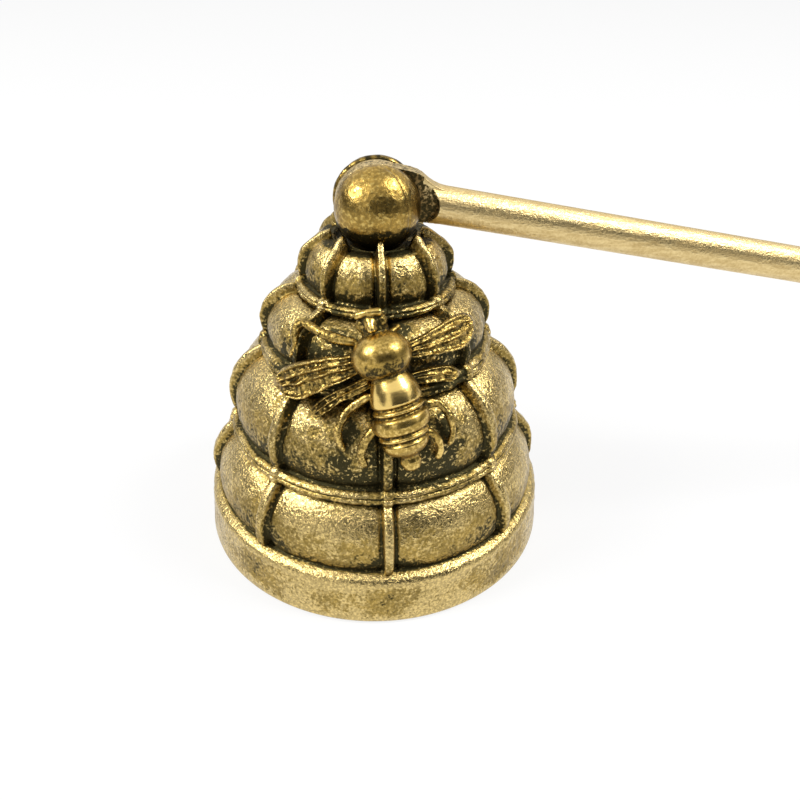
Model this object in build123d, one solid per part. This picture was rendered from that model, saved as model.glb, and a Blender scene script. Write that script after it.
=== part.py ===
from build123d import *
import math
import os

# Candle snuffer: a cast hive bell with a bee in relief, a split ball knob and a long hinged handle.
# The origin is the centre of the bell's mouth, +Z is up, the bee faces -Y and the handle lies toward +X.
# Lengths are in millimetres, angles in degrees.

# Base band, and the ledge between it and the lowest panels; the widths of ledge, tiers and rings share out
# the room between the crown and the base, so that the hive keeps its shape when either changes
base_diameter = 44.0
ledge_width = 1.5
ledge_rise = 0.4
band_setback = 0.5
band_height = 6.3
foot_round = 0.5

# Tier one, the lowest row of panels: how far its belly stands out past its head and past its foot
tier_1_swell_width = 3.05
tier_1_tuck_width = 0.2
tier_1_belly_height = 2.3
tier_1_height = 7.9

# Tier two
tier_2_swell_width = 4.4
tier_2_tuck_width = 0.4
tier_2_belly_height = 2.3
tier_2_height = 9.1

# Tier three
tier_3_swell_width = 4.2
tier_3_tuck_width = 0.2
tier_3_belly_height = 1.8
tier_3_height = 5.8

# Tier four, under the crown
tier_4_swell_width = 3.1
tier_4_tuck_width = 0.1
tier_4_belly_height = 1.6
tier_4_height = 5.5

# Ring ledges between the tiers, each a broad bead with a finer bead above it: how far a ring stands out past
# the foot of the panels above it, and past the head of the panels below it
ring_reach_width = 1.1
ring_1_overhang_width = 0.75
ring_1_height = 1.9
ring_2_overhang_width = 0.8
ring_2_height = 2.0
ring_3_overhang_width = 0.5
ring_3_height = 1.3
ring_notch_depth = 0.45
fine_bead_setback = 0.2
broad_bead_share = 0.58

# Straps that run up each tier
strap_count = 8
strap_height = 0.85
strap_root_depth = 1.0
strap_round = 0.35
lower_strap_width = 1.3
upper_strap_width = 1.0
strap_groove_width = 0.45
strap_groove_depth = 0.45
strap_groove_inset = 0.25
strap_foot_overrun = 0.3
strap_head_inset = 0.1
groove_clearance = 2.0

# Hollow of the bell
rim_width = 3.0
mouth_depth = 6.0
wall_thickness = 2.2
ceiling_thickness = 2.45

# Crown dish that the ball sits in
crown_dish_depth = 1.25
crown_dish_flare_width = 0.4
crown_lip_width = 0.4
ball_clearance = 0.058

# Split ball knob
ball_diameter = 9.6
neck_diameter = 6.0
neck_height = 1.7
knob_base_diameter = 6.8
knob_base_thickness = 1.2
shank_diameter = 4.0
peened_head_diameter = 6.4
peened_head_thickness = 0.9
seat_clearance = 0.02

# Hinge
ball_sink_depth = 0.4
pin_diameter = 2.2
pin_running_clearance = 0.05
tongue_thickness = 2.0
tongue_side_clearance = 0.12
tongue_eye_setback = 0.2
tongue_floor_gap = 0.3

# Handle
handle_length = 226.0
rod_diameter = 4.3
rod_rise = 1.0
shoulder_gap = 2.0
flare_start_gap = 0.5
flare_drop = 0.6
flare_round = 1.6
neck_overlap = 0.8
neck_underside = 0.25
neck_underside_setback = 0.7
stub_length = 1.6
spigot_diameter = 2.4
spigot_length = 6.0
socket_end_gap = 0.3

# Bee: where it sits on the hive, then its own sizes from head to tail
thorax_azimuth = -4.4
tail_azimuth = 6.4
thorax_height_on_tier = 4.6
tail_height_on_tier = 4.6
thorax_stand_off = 2.6
tail_stand_off = 1.7
head_length = 2.5
head_diameter = 2.7
thorax_length = 5.2
thorax_diameter = 5.4
first_ring_length = 2.8
first_ring_diameter = 5.0
second_ring_length = 3.1
second_ring_diameter = 5.8
third_ring_length = 3.0
third_ring_diameter = 5.1
tail_length = 1.9
tail_diameter = 2.4
neck_waist_diameter = 1.9
body_waist_diameter = 3.2
ring_waist_diameter = 4.5
tail_waist_diameter = 2.0
saddle_depth = 3.7
saddle_drop = 0.5
saddle_front_diameter = 4.4
saddle_rear_diameter = 4.2
eye_diameter = 1.0
eye_spread = 1.7
eye_place_share = 0.6

# Wings, measured from the bee's middle line; left and right are as seen from the front
wing_thickness = 0.8
wing_drop = 0.5
fore_wing_root_diameter = 1.8
fore_wing_tip_diameter = 3.6
fore_wing_shift = 0.3
hind_wing_root_diameter = 1.6
hind_wing_tip_diameter = 2.4
hind_wing_shift = 1.4
left_fore_wing_length = 14.6
left_fore_wing_sweep_angle = 4.0
left_fore_wing_fold_angle = 16.0
left_hind_wing_length = 10.4
left_hind_wing_sweep_angle = 20.0
left_hind_wing_fold_angle = 13.0
right_fore_wing_length = 13.0
right_fore_wing_sweep_angle = 0.0
right_fore_wing_fold_angle = 35.0
right_hind_wing_length = 9.6
right_hind_wing_sweep_angle = 24.0
right_hind_wing_fold_angle = 36.0

# Legs: hip, knee and foot of each pair as shares of the leg's reach (sideways, toward the head, outward)
leg_diameter = 0.8
leg_reach = 10.0
front_leg_shares = ((0.16, 0.16, -0.09), (0.50, 0.30, -0.11), (0.66, 0.04, -0.36))
middle_leg_shares = ((0.18, -0.24, -0.09), (0.46, -0.44, -0.06), (0.56, -0.74, -0.26))
hind_leg_shares = ((0.20, -0.54, -0.06), (0.40, -0.76, -0.04), (0.39, -1.06, -0.22))

# Heights and places that follow from the sizes above
slot_width = tongue_thickness + 2 * tongue_side_clearance
ball_radius = ball_diameter / 2
hinge_rise = ball_radius - ball_sink_depth
ball_reach_at_rim = slot_width / 2 + math.sqrt(ball_radius**2 - (hinge_rise - crown_dish_depth) ** 2)
crown_dish_rim_diameter = 2 * (ball_reach_at_rim + ball_clearance)
crown_dish_diameter = crown_dish_rim_diameter - 2 * crown_dish_flare_width
tier_4_head_diameter = crown_dish_rim_diameter + 2 * crown_lip_width
tier_4_step_width = tier_4_swell_width - tier_4_tuck_width + ring_reach_width
tier_3_step_width = tier_3_swell_width - tier_3_tuck_width + ring_reach_width - ring_3_overhang_width
tier_2_step_width = tier_2_swell_width - tier_2_tuck_width + ring_reach_width - ring_2_overhang_width
tier_1_step_width = tier_1_swell_width + ledge_width - ring_1_overhang_width
hive_step_width = tier_1_step_width + tier_2_step_width + tier_3_step_width + tier_4_step_width
spread_share = (base_diameter - tier_4_head_diameter) / hive_step_width
tier_4_belly_diameter = tier_4_head_diameter + spread_share * tier_4_swell_width
tier_4_foot_diameter = tier_4_belly_diameter - spread_share * tier_4_tuck_width
ring_3_diameter = tier_4_foot_diameter + spread_share * ring_reach_width
tier_3_head_diameter = ring_3_diameter - spread_share * ring_3_overhang_width
tier_3_belly_diameter = tier_3_head_diameter + spread_share * tier_3_swell_width
tier_3_foot_diameter = tier_3_belly_diameter - spread_share * tier_3_tuck_width
ring_2_diameter = tier_3_foot_diameter + spread_share * ring_reach_width
tier_2_head_diameter = ring_2_diameter - spread_share * ring_2_overhang_width
tier_2_belly_diameter = tier_2_head_diameter + spread_share * tier_2_swell_width
tier_2_foot_diameter = tier_2_belly_diameter - spread_share * tier_2_tuck_width
ring_1_diameter = tier_2_foot_diameter + spread_share * ring_reach_width
tier_1_head_diameter = ring_1_diameter - spread_share * ring_1_overhang_width
tier_1_belly_diameter = tier_1_head_diameter + spread_share * tier_1_swell_width
tier_1_foot_diameter = tier_1_belly_diameter - spread_share * tier_1_tuck_width
band_top_diameter = base_diameter - 2 * band_setback
mouth_diameter = base_diameter - 2 * rim_width
tier_sizes = [
    (tier_1_foot_diameter, tier_1_belly_diameter, tier_1_head_diameter, tier_1_belly_height, tier_1_height),
    (tier_2_foot_diameter, tier_2_belly_diameter, tier_2_head_diameter, tier_2_belly_height, tier_2_height),
    (tier_3_foot_diameter, tier_3_belly_diameter, tier_3_head_diameter, tier_3_belly_height, tier_3_height),
    (tier_4_foot_diameter, tier_4_belly_diameter, tier_4_head_diameter, tier_4_belly_height, tier_4_height),
]
ring_sizes = [
    (ring_1_diameter, ring_1_height),
    (ring_2_diameter, ring_2_height),
    (ring_3_diameter, ring_3_height),
]
left_fore_wing = (left_fore_wing_length, left_fore_wing_sweep_angle, left_fore_wing_fold_angle)
left_hind_wing = (left_hind_wing_length, left_hind_wing_sweep_angle, left_hind_wing_fold_angle)
right_fore_wing = (right_fore_wing_length, right_fore_wing_sweep_angle, right_fore_wing_fold_angle)
right_hind_wing = (right_hind_wing_length, right_hind_wing_sweep_angle, right_hind_wing_fold_angle)
strap_widths = [lower_strap_width, lower_strap_width, upper_strap_width, upper_strap_width]
tier_1_foot = band_height + ledge_rise
tier_2_foot = tier_1_foot + tier_1_height + ring_1_height
tier_3_foot = tier_2_foot + tier_2_height + ring_2_height
tier_4_foot = tier_3_foot + tier_3_height + ring_3_height
tier_feet = [tier_1_foot, tier_2_foot, tier_3_foot, tier_4_foot]
crown_rim = tier_4_foot + tier_4_height
crown_floor = crown_rim - crown_dish_depth
ceiling = crown_floor - ceiling_thickness
hinge_height = crown_floor + hinge_rise
tongue_eye_radius = ball_radius - tongue_eye_setback
slot_floor = hinge_height - tongue_eye_radius - tongue_floor_gap
shoulder_radius = ball_radius + shoulder_gap
flare_start = ball_radius + flare_start_gap
neck_underside_start = ball_radius - neck_underside_setback
neck_end = shoulder_radius + neck_overlap
tongue_length = neck_end + stub_length
handle_slope = math.degrees(
    math.asin((hinge_height - rod_diameter / 2) / math.hypot(handle_length, rod_rise))
    + math.atan2(rod_rise, handle_length)
)


def tier_points(tier):
    """Foot, belly and head of one tier's panel in the (radius, height) plane."""
    foot, belly, head, belly_height, height = tier_sizes[tier]
    start = tier_feet[tier]
    return [(foot / 2, start), (belly / 2, start + belly_height), (head / 2, start + height)]


def tier_radius(tier, rise):
    """Radius of a tier's panel at a height above the tier's foot, on the arc through its three points."""
    (ax, ay), (bx, by), (cx, cy) = tier_points(tier)
    turn = 2 * (ax * (by - cy) + bx * (cy - ay) + cx * (ay - by))
    a_square, b_square, c_square = ax**2 + ay**2, bx**2 + by**2, cx**2 + cy**2
    middle_x = (a_square * (by - cy) + b_square * (cy - ay) + c_square * (ay - by)) / turn
    middle_y = (a_square * (cx - bx) + b_square * (ax - cx) + c_square * (bx - ax)) / turn
    round_radius = math.hypot(ax - middle_x, ay - middle_y)
    return middle_x + math.sqrt(round_radius**2 - (ay + rise - middle_y) ** 2)


def ring_edges(ring):
    """The two beads of the ring ledge above one tier, as edges in the profile plane."""
    diameter, height = ring_sizes[ring]
    head = tier_points(ring)[-1]
    foot = tier_points(ring + 1)[0]
    crest = diameter / 2
    notch_height = head[1] + broad_bead_share * height
    notch = (crest - ring_notch_depth, notch_height)
    broad = (crest, (head[1] + notch_height) / 2)
    fine = (crest - fine_bead_setback, (notch_height + foot[1]) / 2)
    return [ThreePointArc(head, broad, notch), ThreePointArc(notch, fine, foot)]


def hive_profile():
    """The hive's filled half section, from the axis out to the panels."""
    rim = base_diameter / 2
    band_top = (band_top_diameter / 2, band_height)
    edges = [
        Line((0, 0), (rim - foot_round, 0)),
        ThreePointArc(
            (rim - foot_round, 0),
            (rim - foot_round * (1 - math.sqrt(0.5)), foot_round * (1 - math.sqrt(0.5))),
            (rim, foot_round),
        ),
        Line((rim, foot_round), band_top),
        Line(band_top, tier_points(0)[0]),
    ]
    for tier in range(len(tier_sizes)):
        edges.append(ThreePointArc(*tier_points(tier)))
        if tier < len(ring_sizes):
            edges.extend(ring_edges(tier))
    edges.append(Line((tier_4_head_diameter / 2, crown_rim), (0, crown_rim)))
    edges.append(Line((0, crown_rim), (0, 0)))
    return Plane.XZ * make_face(edges)


def panel_arc(tier, shift, foot_inset, head_inset):
    """A tier's panel outline moved out by shift and stopped short of its foot and head by the insets."""
    belly = tier_points(tier)[1]
    start = tier_feet[tier]
    top = tier_sizes[tier][-1] - head_inset
    return [
        (tier_radius(tier, foot_inset) + shift, start + foot_inset),
        (belly[0] + shift, belly[1]),
        (tier_radius(tier, top) + shift, start + top),
    ]


def strap_band(tier, inner_shift, outer_shift, width, foot_inset, head_inset):
    """One strap-shaped block up a tier at +X, between two shifts of the panel's outline."""
    inner = panel_arc(tier, inner_shift, foot_inset, head_inset)
    outer = panel_arc(tier, outer_shift, foot_inset, head_inset)
    edges = [
        ThreePointArc(*outer),
        Line(outer[-1], inner[-1]),
        ThreePointArc(*inner),
        Line(inner[0], outer[0]),
    ]
    return extrude(Plane.XZ.offset(-width / 2) * make_face(edges), amount=width)


def strap(tier):
    """One raised strap with its outer edges rounded and its foot run into the ledge below."""
    width = strap_widths[tier]
    block = strap_band(tier, -strap_root_depth, strap_height, width, -strap_foot_overrun, strap_head_inset)
    crest = block.edges().filter_by(GeomType.CIRCLE).sort_by(Axis.X)[-2:]
    return fillet(crest, strap_round)


def around(shape):
    """Copies of a shape made at +X, one at each strap's place round the hive."""
    return [Rot(Z=360 / strap_count * place) * shape for place in range(strap_count)]


def filled_hive():
    """The hive's outside as a filled solid: panels, rings, straps and the grooves beside the straps."""
    body = revolve(hive_profile(), Axis.Z)
    grooves = []
    straps = []
    for tier in range(len(tier_sizes)):
        groove_width = strap_widths[tier] + 2 * strap_groove_width
        inset = strap_groove_inset
        groove = strap_band(tier, -strap_groove_depth, groove_clearance, groove_width, inset, inset)
        grooves += around(groove)
        straps += around(strap(tier))
    return body - grooves + straps


def hollow():
    """The bell's inside: a straight mouth, then cones that follow the tiers up to the ceiling."""
    points = [(0, 0), (mouth_diameter / 2, 0), (mouth_diameter / 2, mouth_depth)]
    for tier in range(len(tier_sizes) - 1):
        head = tier_points(tier)[-1]
        points.append((head[0] - wall_thickness, head[1]))
    points.append((tier_4_head_diameter / 2 - wall_thickness / 2, ceiling))
    points.append((0, ceiling))
    return revolve(Plane.XZ * make_face(Polyline(*points, close=True)), Axis.Z)


def crown_seat():
    """The dish round the ball, the recess for the knob's base and the hole for its shank."""
    dish = loft(
        [
            Plane.XY.offset(crown_floor) * Circle(crown_dish_diameter / 2),
            Plane.XY.offset(crown_rim) * Circle(crown_dish_rim_diameter / 2),
        ]
    )
    recess_radius = knob_base_diameter / 2 + seat_clearance
    recess = standing_cylinder(recess_radius, crown_floor - knob_base_thickness, crown_floor)
    hole = standing_cylinder(shank_diameter / 2 + seat_clearance, ceiling, crown_floor)
    return [dish, recess, hole]


def standing_cylinder(radius, bottom, top):
    """A cylinder on the Z axis between two heights."""
    return extrude(Plane.XY.offset(bottom) * Circle(radius), amount=top - bottom)


def hive_bell(filled):
    """The cast hive: its outside less the hollow and the crown's seat."""
    return filled - [hollow()] - crown_seat()


def ball_ears():
    """The two half balls, pulled apart by the slot."""
    ears = []
    for side in (-1, 1):
        centre = Pos(0, side * slot_width / 2, hinge_height)
        block = Pos(0, side * ball_diameter / 2, 0) * Box(ball_diameter, ball_diameter, ball_diameter)
        ears.append(centre * (Sphere(ball_diameter / 2) & block))
    return ears


def pin_bore(radius, length):
    """A cylinder on the hinge axis, centred on the handle's plane."""
    return Pos(0, 0, hinge_height) * Rot(X=90) * Cylinder(radius, length)


def ball_knob():
    """The split ball: two ears on a slotted neck, a base disc and a shank peened under the ceiling."""
    base_bottom = crown_floor - knob_base_thickness
    neck = standing_cylinder(neck_diameter / 2, crown_floor, crown_floor + neck_height)
    slot_height = neck_height + ball_diameter
    slot = Pos(0, 0, slot_floor + slot_height / 2) * Box(2 * ball_diameter, slot_width, slot_height)
    below_floor = standing_cylinder(ball_diameter, ceiling, crown_floor)
    ears = [ear - below_floor for ear in ball_ears()]
    base = standing_cylinder(knob_base_diameter / 2, base_bottom, crown_floor)
    shank = standing_cylinder(shank_diameter / 2, ceiling, base_bottom)
    head = standing_cylinder(peened_head_diameter / 2, ceiling - peened_head_thickness, ceiling)
    head = fillet(head.edges().group_by(Axis.Z)[0], peened_head_thickness / 2)
    slotted = base + neck - slot
    return slotted + ears + [shank, head] - pin_bore(pin_diameter / 2 + seat_clearance, 2 * ball_diameter)


def hinge_pin():
    """The hinge pin, its ends filed flush with the two half balls."""
    pin = pin_bore(pin_diameter / 2, 2 * ball_diameter)
    between = Pos(0, 0, hinge_height) * Box(pin_diameter * 2, slot_width, pin_diameter * 2)
    return pin & (between + ball_ears())


def at_handle(shape):
    """Moves a shape from the handle's own frame (hinge at the origin, rod along +X) to its resting place."""
    return Pos(0, 0, hinge_height) * Rot(Y=handle_slope) * shape


def lying_cylinder(radius, start, end):
    """A cylinder along the rod's axis in the handle's own frame."""
    return extrude(Plane.YZ.offset(start) * Pos(0, rod_rise) * Circle(radius), amount=end - start)


def tongue_plate():
    """The flat eye and its neck, level with the eye's top edge and narrowing into the rod."""
    inset = math.sqrt((rod_diameter / 2) ** 2 - (tongue_thickness / 2) ** 2)
    neck = make_face(
        Polyline(
            (0, tongue_eye_radius),
            (flare_start, tongue_eye_radius - flare_drop),
            (neck_end, rod_rise + inset),
            (neck_end, rod_rise - inset),
            (neck_underside_start, rod_rise - inset - neck_underside),
            (0, 0),
            close=True,
        )
    )
    corner = neck.vertices().sort_by(Axis.X)[-3]
    neck = fillet(corner, flare_round)
    outline = neck + Circle(tongue_eye_radius)
    return extrude(Plane.XZ * outline, amount=tongue_thickness / 2, both=True)


def handle_tongue():
    """The handle's cast end: eye, neck, hollow-faced shoulder, and a spigot for the rod."""
    shoulder_cut = Rot(X=90) * Cylinder(shoulder_radius, 2 * rod_diameter)
    stub = lying_cylinder(rod_diameter / 2, 0, tongue_length) - shoulder_cut
    spigot = lying_cylinder(spigot_diameter / 2, neck_end, tongue_length + spigot_length)
    eye = Rot(X=90) * Cylinder(pin_diameter / 2 + pin_running_clearance, 2 * tongue_thickness)
    return at_handle(tongue_plate() + [stub, spigot] - eye)


def handle_rod():
    """The round rod, drilled for the tongue's spigot, with a ball-shaped end that touches the table."""
    rod = lying_cylinder(rod_diameter / 2, tongue_length, handle_length)
    tip = Pos(handle_length, 0, rod_rise) * Sphere(rod_diameter / 2)
    socket = lying_cylinder(
        spigot_diameter / 2 + seat_clearance, tongue_length, tongue_length + spigot_length + socket_end_gap
    )
    return at_handle(rod + tip - socket)


def on_hive(tier, rise, azimuth, stand_off):
    """A point off a tier's panel; azimuth is measured from the front, toward +X."""
    radius = tier_radius(tier, rise) + stand_off
    turn = math.radians(azimuth)
    return Vector(radius * math.sin(turn), -radius * math.cos(turn), tier_feet[tier] + rise)


def bee_plane():
    """The bee's own frame: origin in the thorax, y toward the head, z outward, x to the right."""
    thorax = on_hive(2, thorax_height_on_tier, thorax_azimuth, thorax_stand_off)
    tail = on_hive(1, tail_height_on_tier, tail_azimuth, tail_stand_off)
    headward = (thorax - tail).normalized()
    outward = Vector(thorax.X, thorax.Y, 0).normalized()
    sideways = headward.cross(outward).normalized()
    return Plane(origin=thorax, x_dir=sideways, z_dir=sideways.cross(headward))


def bee_body():
    """Head, thorax, ringed abdomen and tail as lobes turned about the bee's middle line."""
    lobes = [
        (head_length, head_diameter, neck_waist_diameter),
        (thorax_length, thorax_diameter, body_waist_diameter),
        (first_ring_length, first_ring_diameter, ring_waist_diameter),
        (second_ring_length, second_ring_diameter, ring_waist_diameter),
        (third_ring_length, third_ring_diameter, tail_waist_diameter),
        (tail_length, tail_diameter, 0),
    ]
    place = thorax_length / 2 + head_length
    start = (0, place)
    edges = []
    for length, diameter, waist in lobes:
        end = (waist / 2, place - length)
        edges.append(ThreePointArc(start, (diameter / 2, place - length / 2), end))
        start = end
        place -= length
    edges.append(Line(start, (0, thorax_length / 2 + head_length)))
    return revolve(make_face(edges), Axis.Y)


def bee_saddle():
    """The back of the bee, which reaches in to the hive under its thorax and abdomen."""
    rear = thorax_length / 2 + first_ring_length + second_ring_length + third_ring_length / 2
    circles = [
        CenterArc((0, 0), saddle_front_diameter / 2, 0, 360),
        CenterArc((0, -rear), saddle_rear_diameter / 2, 0, 360),
    ]
    return Pos(0, 0, -saddle_drop) * extrude(make_hull(circles), amount=-saddle_depth)


def wing(side, placing, root_diameter, tip_diameter, shift):
    """One wing plate, swept toward the tail and folded back round the hive."""
    length, sweep, fold = placing
    tip = length - tip_diameter / 2
    outline = make_hull(
        [
            CenterArc((root_diameter / 2, 0), root_diameter / 2, 0, 360),
            CenterArc((tip, 0), tip_diameter / 2, 0, 360),
        ]
    )
    plate = extrude(outline, amount=wing_thickness / 2, both=True)
    plate = fillet(plate.edges().group_by(Axis.Z)[-1], wing_thickness / 4)
    plate = Pos(0, -shift, -wing_drop) * Rot(Y=fold) * Rot(Z=-sweep) * plate
    return plate if side > 0 else mirror(plate, Plane.YZ)


def wings():
    """The bee's four wings."""
    pieces = []
    for side, fore, hind in ((-1, left_fore_wing, left_hind_wing), (1, right_fore_wing, right_hind_wing)):
        pieces.append(wing(side, fore, fore_wing_root_diameter, fore_wing_tip_diameter, fore_wing_shift))
        pieces.append(wing(side, hind, hind_wing_root_diameter, hind_wing_tip_diameter, hind_wing_shift))
    return pieces


def limb(start, end):
    """One straight leg section with round ends."""
    start, end = Vector(*start), Vector(*end)
    along = end - start
    bar = extrude(Plane(origin=start, z_dir=along) * Circle(leg_diameter / 2), amount=along.length)
    ends = [Pos(*point) * Sphere(leg_diameter / 2) for point in (start, end)]
    return bar + ends


def leg(side, shares):
    """One bent leg on the given side, through its hip, knee and foot."""
    hip, knee, foot = [
        (side * across * leg_reach, along * leg_reach, out * leg_reach) for across, along, out in shares
    ]
    return limb(hip, knee) + limb(knee, foot)


def eye(side):
    """One eye on the side of the head."""
    place = thorax_length / 2 + head_length * eye_place_share
    return Pos(side * eye_spread / 2, place, head_diameter / 4) * Sphere(eye_diameter / 2)


def bee(filled):
    """The bee: body, saddle, wings, legs and eyes, seated on the hive's own surface."""
    pieces = [bee_saddle()] + wings()
    for side in (-1, 1):
        for shares in (front_leg_shares, middle_leg_shares, hind_leg_shares):
            pieces.append(leg(side, shares))
        pieces.append(eye(side))
    whole = bee_body() + pieces
    seated = bee_plane().location * whole - filled
    return seated.solids().sort_by(SortBy.VOLUME)[-1]


os.makedirs("parts", exist_ok=True)
filled = filled_hive()
export_step(hive_bell(filled), "parts/hive_bell.step")
export_step(ball_knob(), "parts/ball_knob.step")
export_step(hinge_pin(), "parts/hinge_pin.step")
export_step(handle_tongue(), "parts/handle_tongue.step")
export_step(handle_rod(), "parts/handle_rod.step")
export_step(bee(filled), "parts/bee.step")
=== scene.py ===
import logging
import math
from dataclasses import dataclass, field
from enum import Enum, IntEnum
from typing import Optional, Sequence, Union

import bmesh
import bpy
import numpy as np
from mathutils import Euler, Matrix, Vector, kdtree, noise


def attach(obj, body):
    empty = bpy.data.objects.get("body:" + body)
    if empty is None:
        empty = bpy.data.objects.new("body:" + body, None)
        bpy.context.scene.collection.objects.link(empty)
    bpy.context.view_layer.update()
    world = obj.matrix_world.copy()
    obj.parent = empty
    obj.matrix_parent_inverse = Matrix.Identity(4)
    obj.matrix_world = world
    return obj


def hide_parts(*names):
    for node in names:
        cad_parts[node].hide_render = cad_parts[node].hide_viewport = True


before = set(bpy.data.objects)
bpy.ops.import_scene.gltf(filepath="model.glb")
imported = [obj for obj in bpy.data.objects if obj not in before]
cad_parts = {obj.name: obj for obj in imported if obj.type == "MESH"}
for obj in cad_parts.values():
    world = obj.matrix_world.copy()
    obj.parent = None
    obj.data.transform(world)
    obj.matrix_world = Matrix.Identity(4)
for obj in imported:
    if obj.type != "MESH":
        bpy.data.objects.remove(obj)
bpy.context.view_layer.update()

MM = 0.001
LOG = logging.getLogger("snuffer")

Point = tuple[float, float, float]
Colour = tuple[float, float, float]
Face = tuple[int, ...]
Feed = Union[bpy.types.NodeSocket, float, Sequence[float]]
Values = dict[Union[str, int], Feed]


class Body(Enum):
    """The two bodies that move against each other."""

    BELL = "bell"
    HANDLE = "handle"


class Slot(Enum):
    """The record's material slots."""

    CAST = "cast_brass"
    RELIEF = "polished_relief"
    PIN = "pin_brass"
    HANDLE = "handle_brass"


class Socket(Enum):
    """Socket types of the shared node groups."""

    VALUE = "NodeSocketFloat"
    COLOUR = "NodeSocketColor"
    PLACE = "NodeSocketVector"


class Axis(Enum):
    """The direction that an outline is turned about."""

    X = "X"
    Y = "Y"
    Z = "Z"


class Side(Enum):
    """The two halves of the split ball, by their direction along Y."""

    FRONT = -1
    REAR = 1


class Zone(IntEnum):
    """Rows of the hive's outline that belong to no tier."""

    PLAIN = -1
    RING = -2


# Mesh helpers


def smoothstep(low: float, high: float, value: np.ndarray) -> np.ndarray:
    """Soft step from 0 at low to 1 at high.

    Args:
        low: Where the step starts.
        high: Where the step ends.
        value: The values to pass through the step.

    Returns:
        Values from 0 to 1 in the shape of value.
    """
    share = np.clip((value - low) / (high - low), 0.0, 1.0)
    return share * share * (3.0 - 2.0 * share)


def grid_faces(rows: int, columns: int, wrap_rows: bool, wrap_columns: bool, start: int = 0) -> list[Face]:
    """Quads of a grid of points.

    Args:
        rows: Number of rows.
        columns: Number of points in a row.
        wrap_rows: Whether the last row joins the first.
        wrap_columns: Whether each row is a closed loop.
        start: Index of the grid's first point.

    Returns:
        Four point indices for each quad.
    """
    faces = []
    for row in range(rows if wrap_rows else rows - 1):
        above = (row + 1) % rows
        for column in range(columns if wrap_columns else columns - 1):
            beside = (column + 1) % columns
            faces.append(
                (
                    start + row * columns + column,
                    start + row * columns + beside,
                    start + above * columns + beside,
                    start + above * columns + column,
                )
            )
    return faces


def capped_faces(rows: int, columns: int, flip: bool = False) -> list[Face]:
    """Faces of a row of rings with a flat cap at each end.

    Args:
        rows: Number of rings.
        columns: Number of points in a ring.
        flip: Whether the caps are wound the other way.

    Returns:
        The point indices of each face.
    """
    first = tuple(range(columns))
    last = tuple(range((rows - 1) * columns, rows * columns))
    caps = [first, last[::-1]] if flip else [first[::-1], last]
    return grid_faces(rows, columns, False, True) + caps


@dataclass
class Shell:
    """A growing mesh made of closed skins, in millimetres."""

    points: list[np.ndarray] = field(default_factory=list)
    faces: list[Face] = field(default_factory=list)
    size: int = 0

    @classmethod
    def of(cls, points: np.ndarray, faces: Sequence[Face]) -> "Shell":
        """Makes a shell of one skin.

        Args:
            points: The skin's points, one row each.
            faces: The skin's faces.

        Returns:
            The new shell.
        """
        shell = cls()
        shell.add(points, faces)
        return shell

    def join(self, other: "Shell") -> None:
        """Adds another shell's one skin."""
        self.add(other.points[0], other.faces)

    def add(self, points: np.ndarray, faces: Sequence[Face]) -> None:
        """Adds one skin.

        Args:
            points: The skin's points, one row each.
            faces: The skin's faces, counted from its own first point.
        """
        self.points.append(np.asarray(points, dtype=float))
        self.faces.extend(tuple(self.size + index for index in face) for face in faces)
        self.size += len(points)

    def piece(self, name: str, place: Optional[Matrix] = None) -> bpy.types.Object:
        """Makes the mesh object and links it into the scene.

        Args:
            name: The object's name.
            place: Moves the points from the skin's own frame, in millimetres.

        Returns:
            The new object, smooth shaded, in metres.
        """
        points = np.vstack(self.points)
        if place is not None:
            turn = np.array(place.to_3x3())
            points = points @ turn.T + np.array(place.to_translation())
        mesh = bpy.data.meshes.new(name)
        mesh.from_pydata((points * MM).tolist(), [], self.faces)
        mesh.validate()
        mesh.shade_smooth()
        piece = bpy.data.objects.new(name, mesh)
        bpy.context.scene.collection.objects.link(piece)
        return piece


def ellipsoid(centre: Point, radii: Point, power: float = 2.0, rings: int = 32, turns: int = 48) -> Shell:
    """A closed lobe about the Y direction, fuller than a ball when the power is above 2.

    Args:
        centre: The lobe's middle.
        radii: Half its width, length and depth.
        power: How square its side is along Y.
        rings: Points from end to end.
        turns: Points round it.

    Returns:
        The lobe's skin.
    """
    along = np.cos(np.linspace(0.02, math.pi - 0.02, rings))
    around = np.linspace(0.0, 2.0 * math.pi, turns, endpoint=False)
    reach = (1.0 - np.abs(along) ** power) ** (1.0 / power)
    points = np.stack(
        [
            centre[0] + radii[0] * np.outer(reach, np.cos(around)),
            centre[1] + radii[1] * np.outer(along, np.ones(turns)),
            centre[2] + radii[2] * np.outer(reach, np.sin(around)),
        ],
        axis=-1,
    ).reshape(-1, 3)
    return Shell.of(points, capped_faces(rings, turns, flip=True))


def soft_path(points: Sequence[Point], count: int) -> np.ndarray:
    """A smooth line through points.

    Args:
        points: The points that the line passes through.
        count: Number of points on the line.

    Returns:
        The line's points, one row each.
    """
    knots = np.array(points, dtype=float)
    knots = np.vstack([2 * knots[0] - knots[1], knots, 2 * knots[-1] - knots[-2]])
    spans = len(points) - 1
    line = []
    for place in np.linspace(0.0, spans - 1e-6, count):
        span = int(place)
        share = place - span
        a, b, c, d = knots[span : span + 4]
        line.append(
            0.5
            * (
                2 * b
                + (c - a) * share
                + (2 * a - 5 * b + 4 * c - d) * share**2
                + (3 * b - a - 3 * c + d) * share**3
            )
        )
    return np.array(line)


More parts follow.
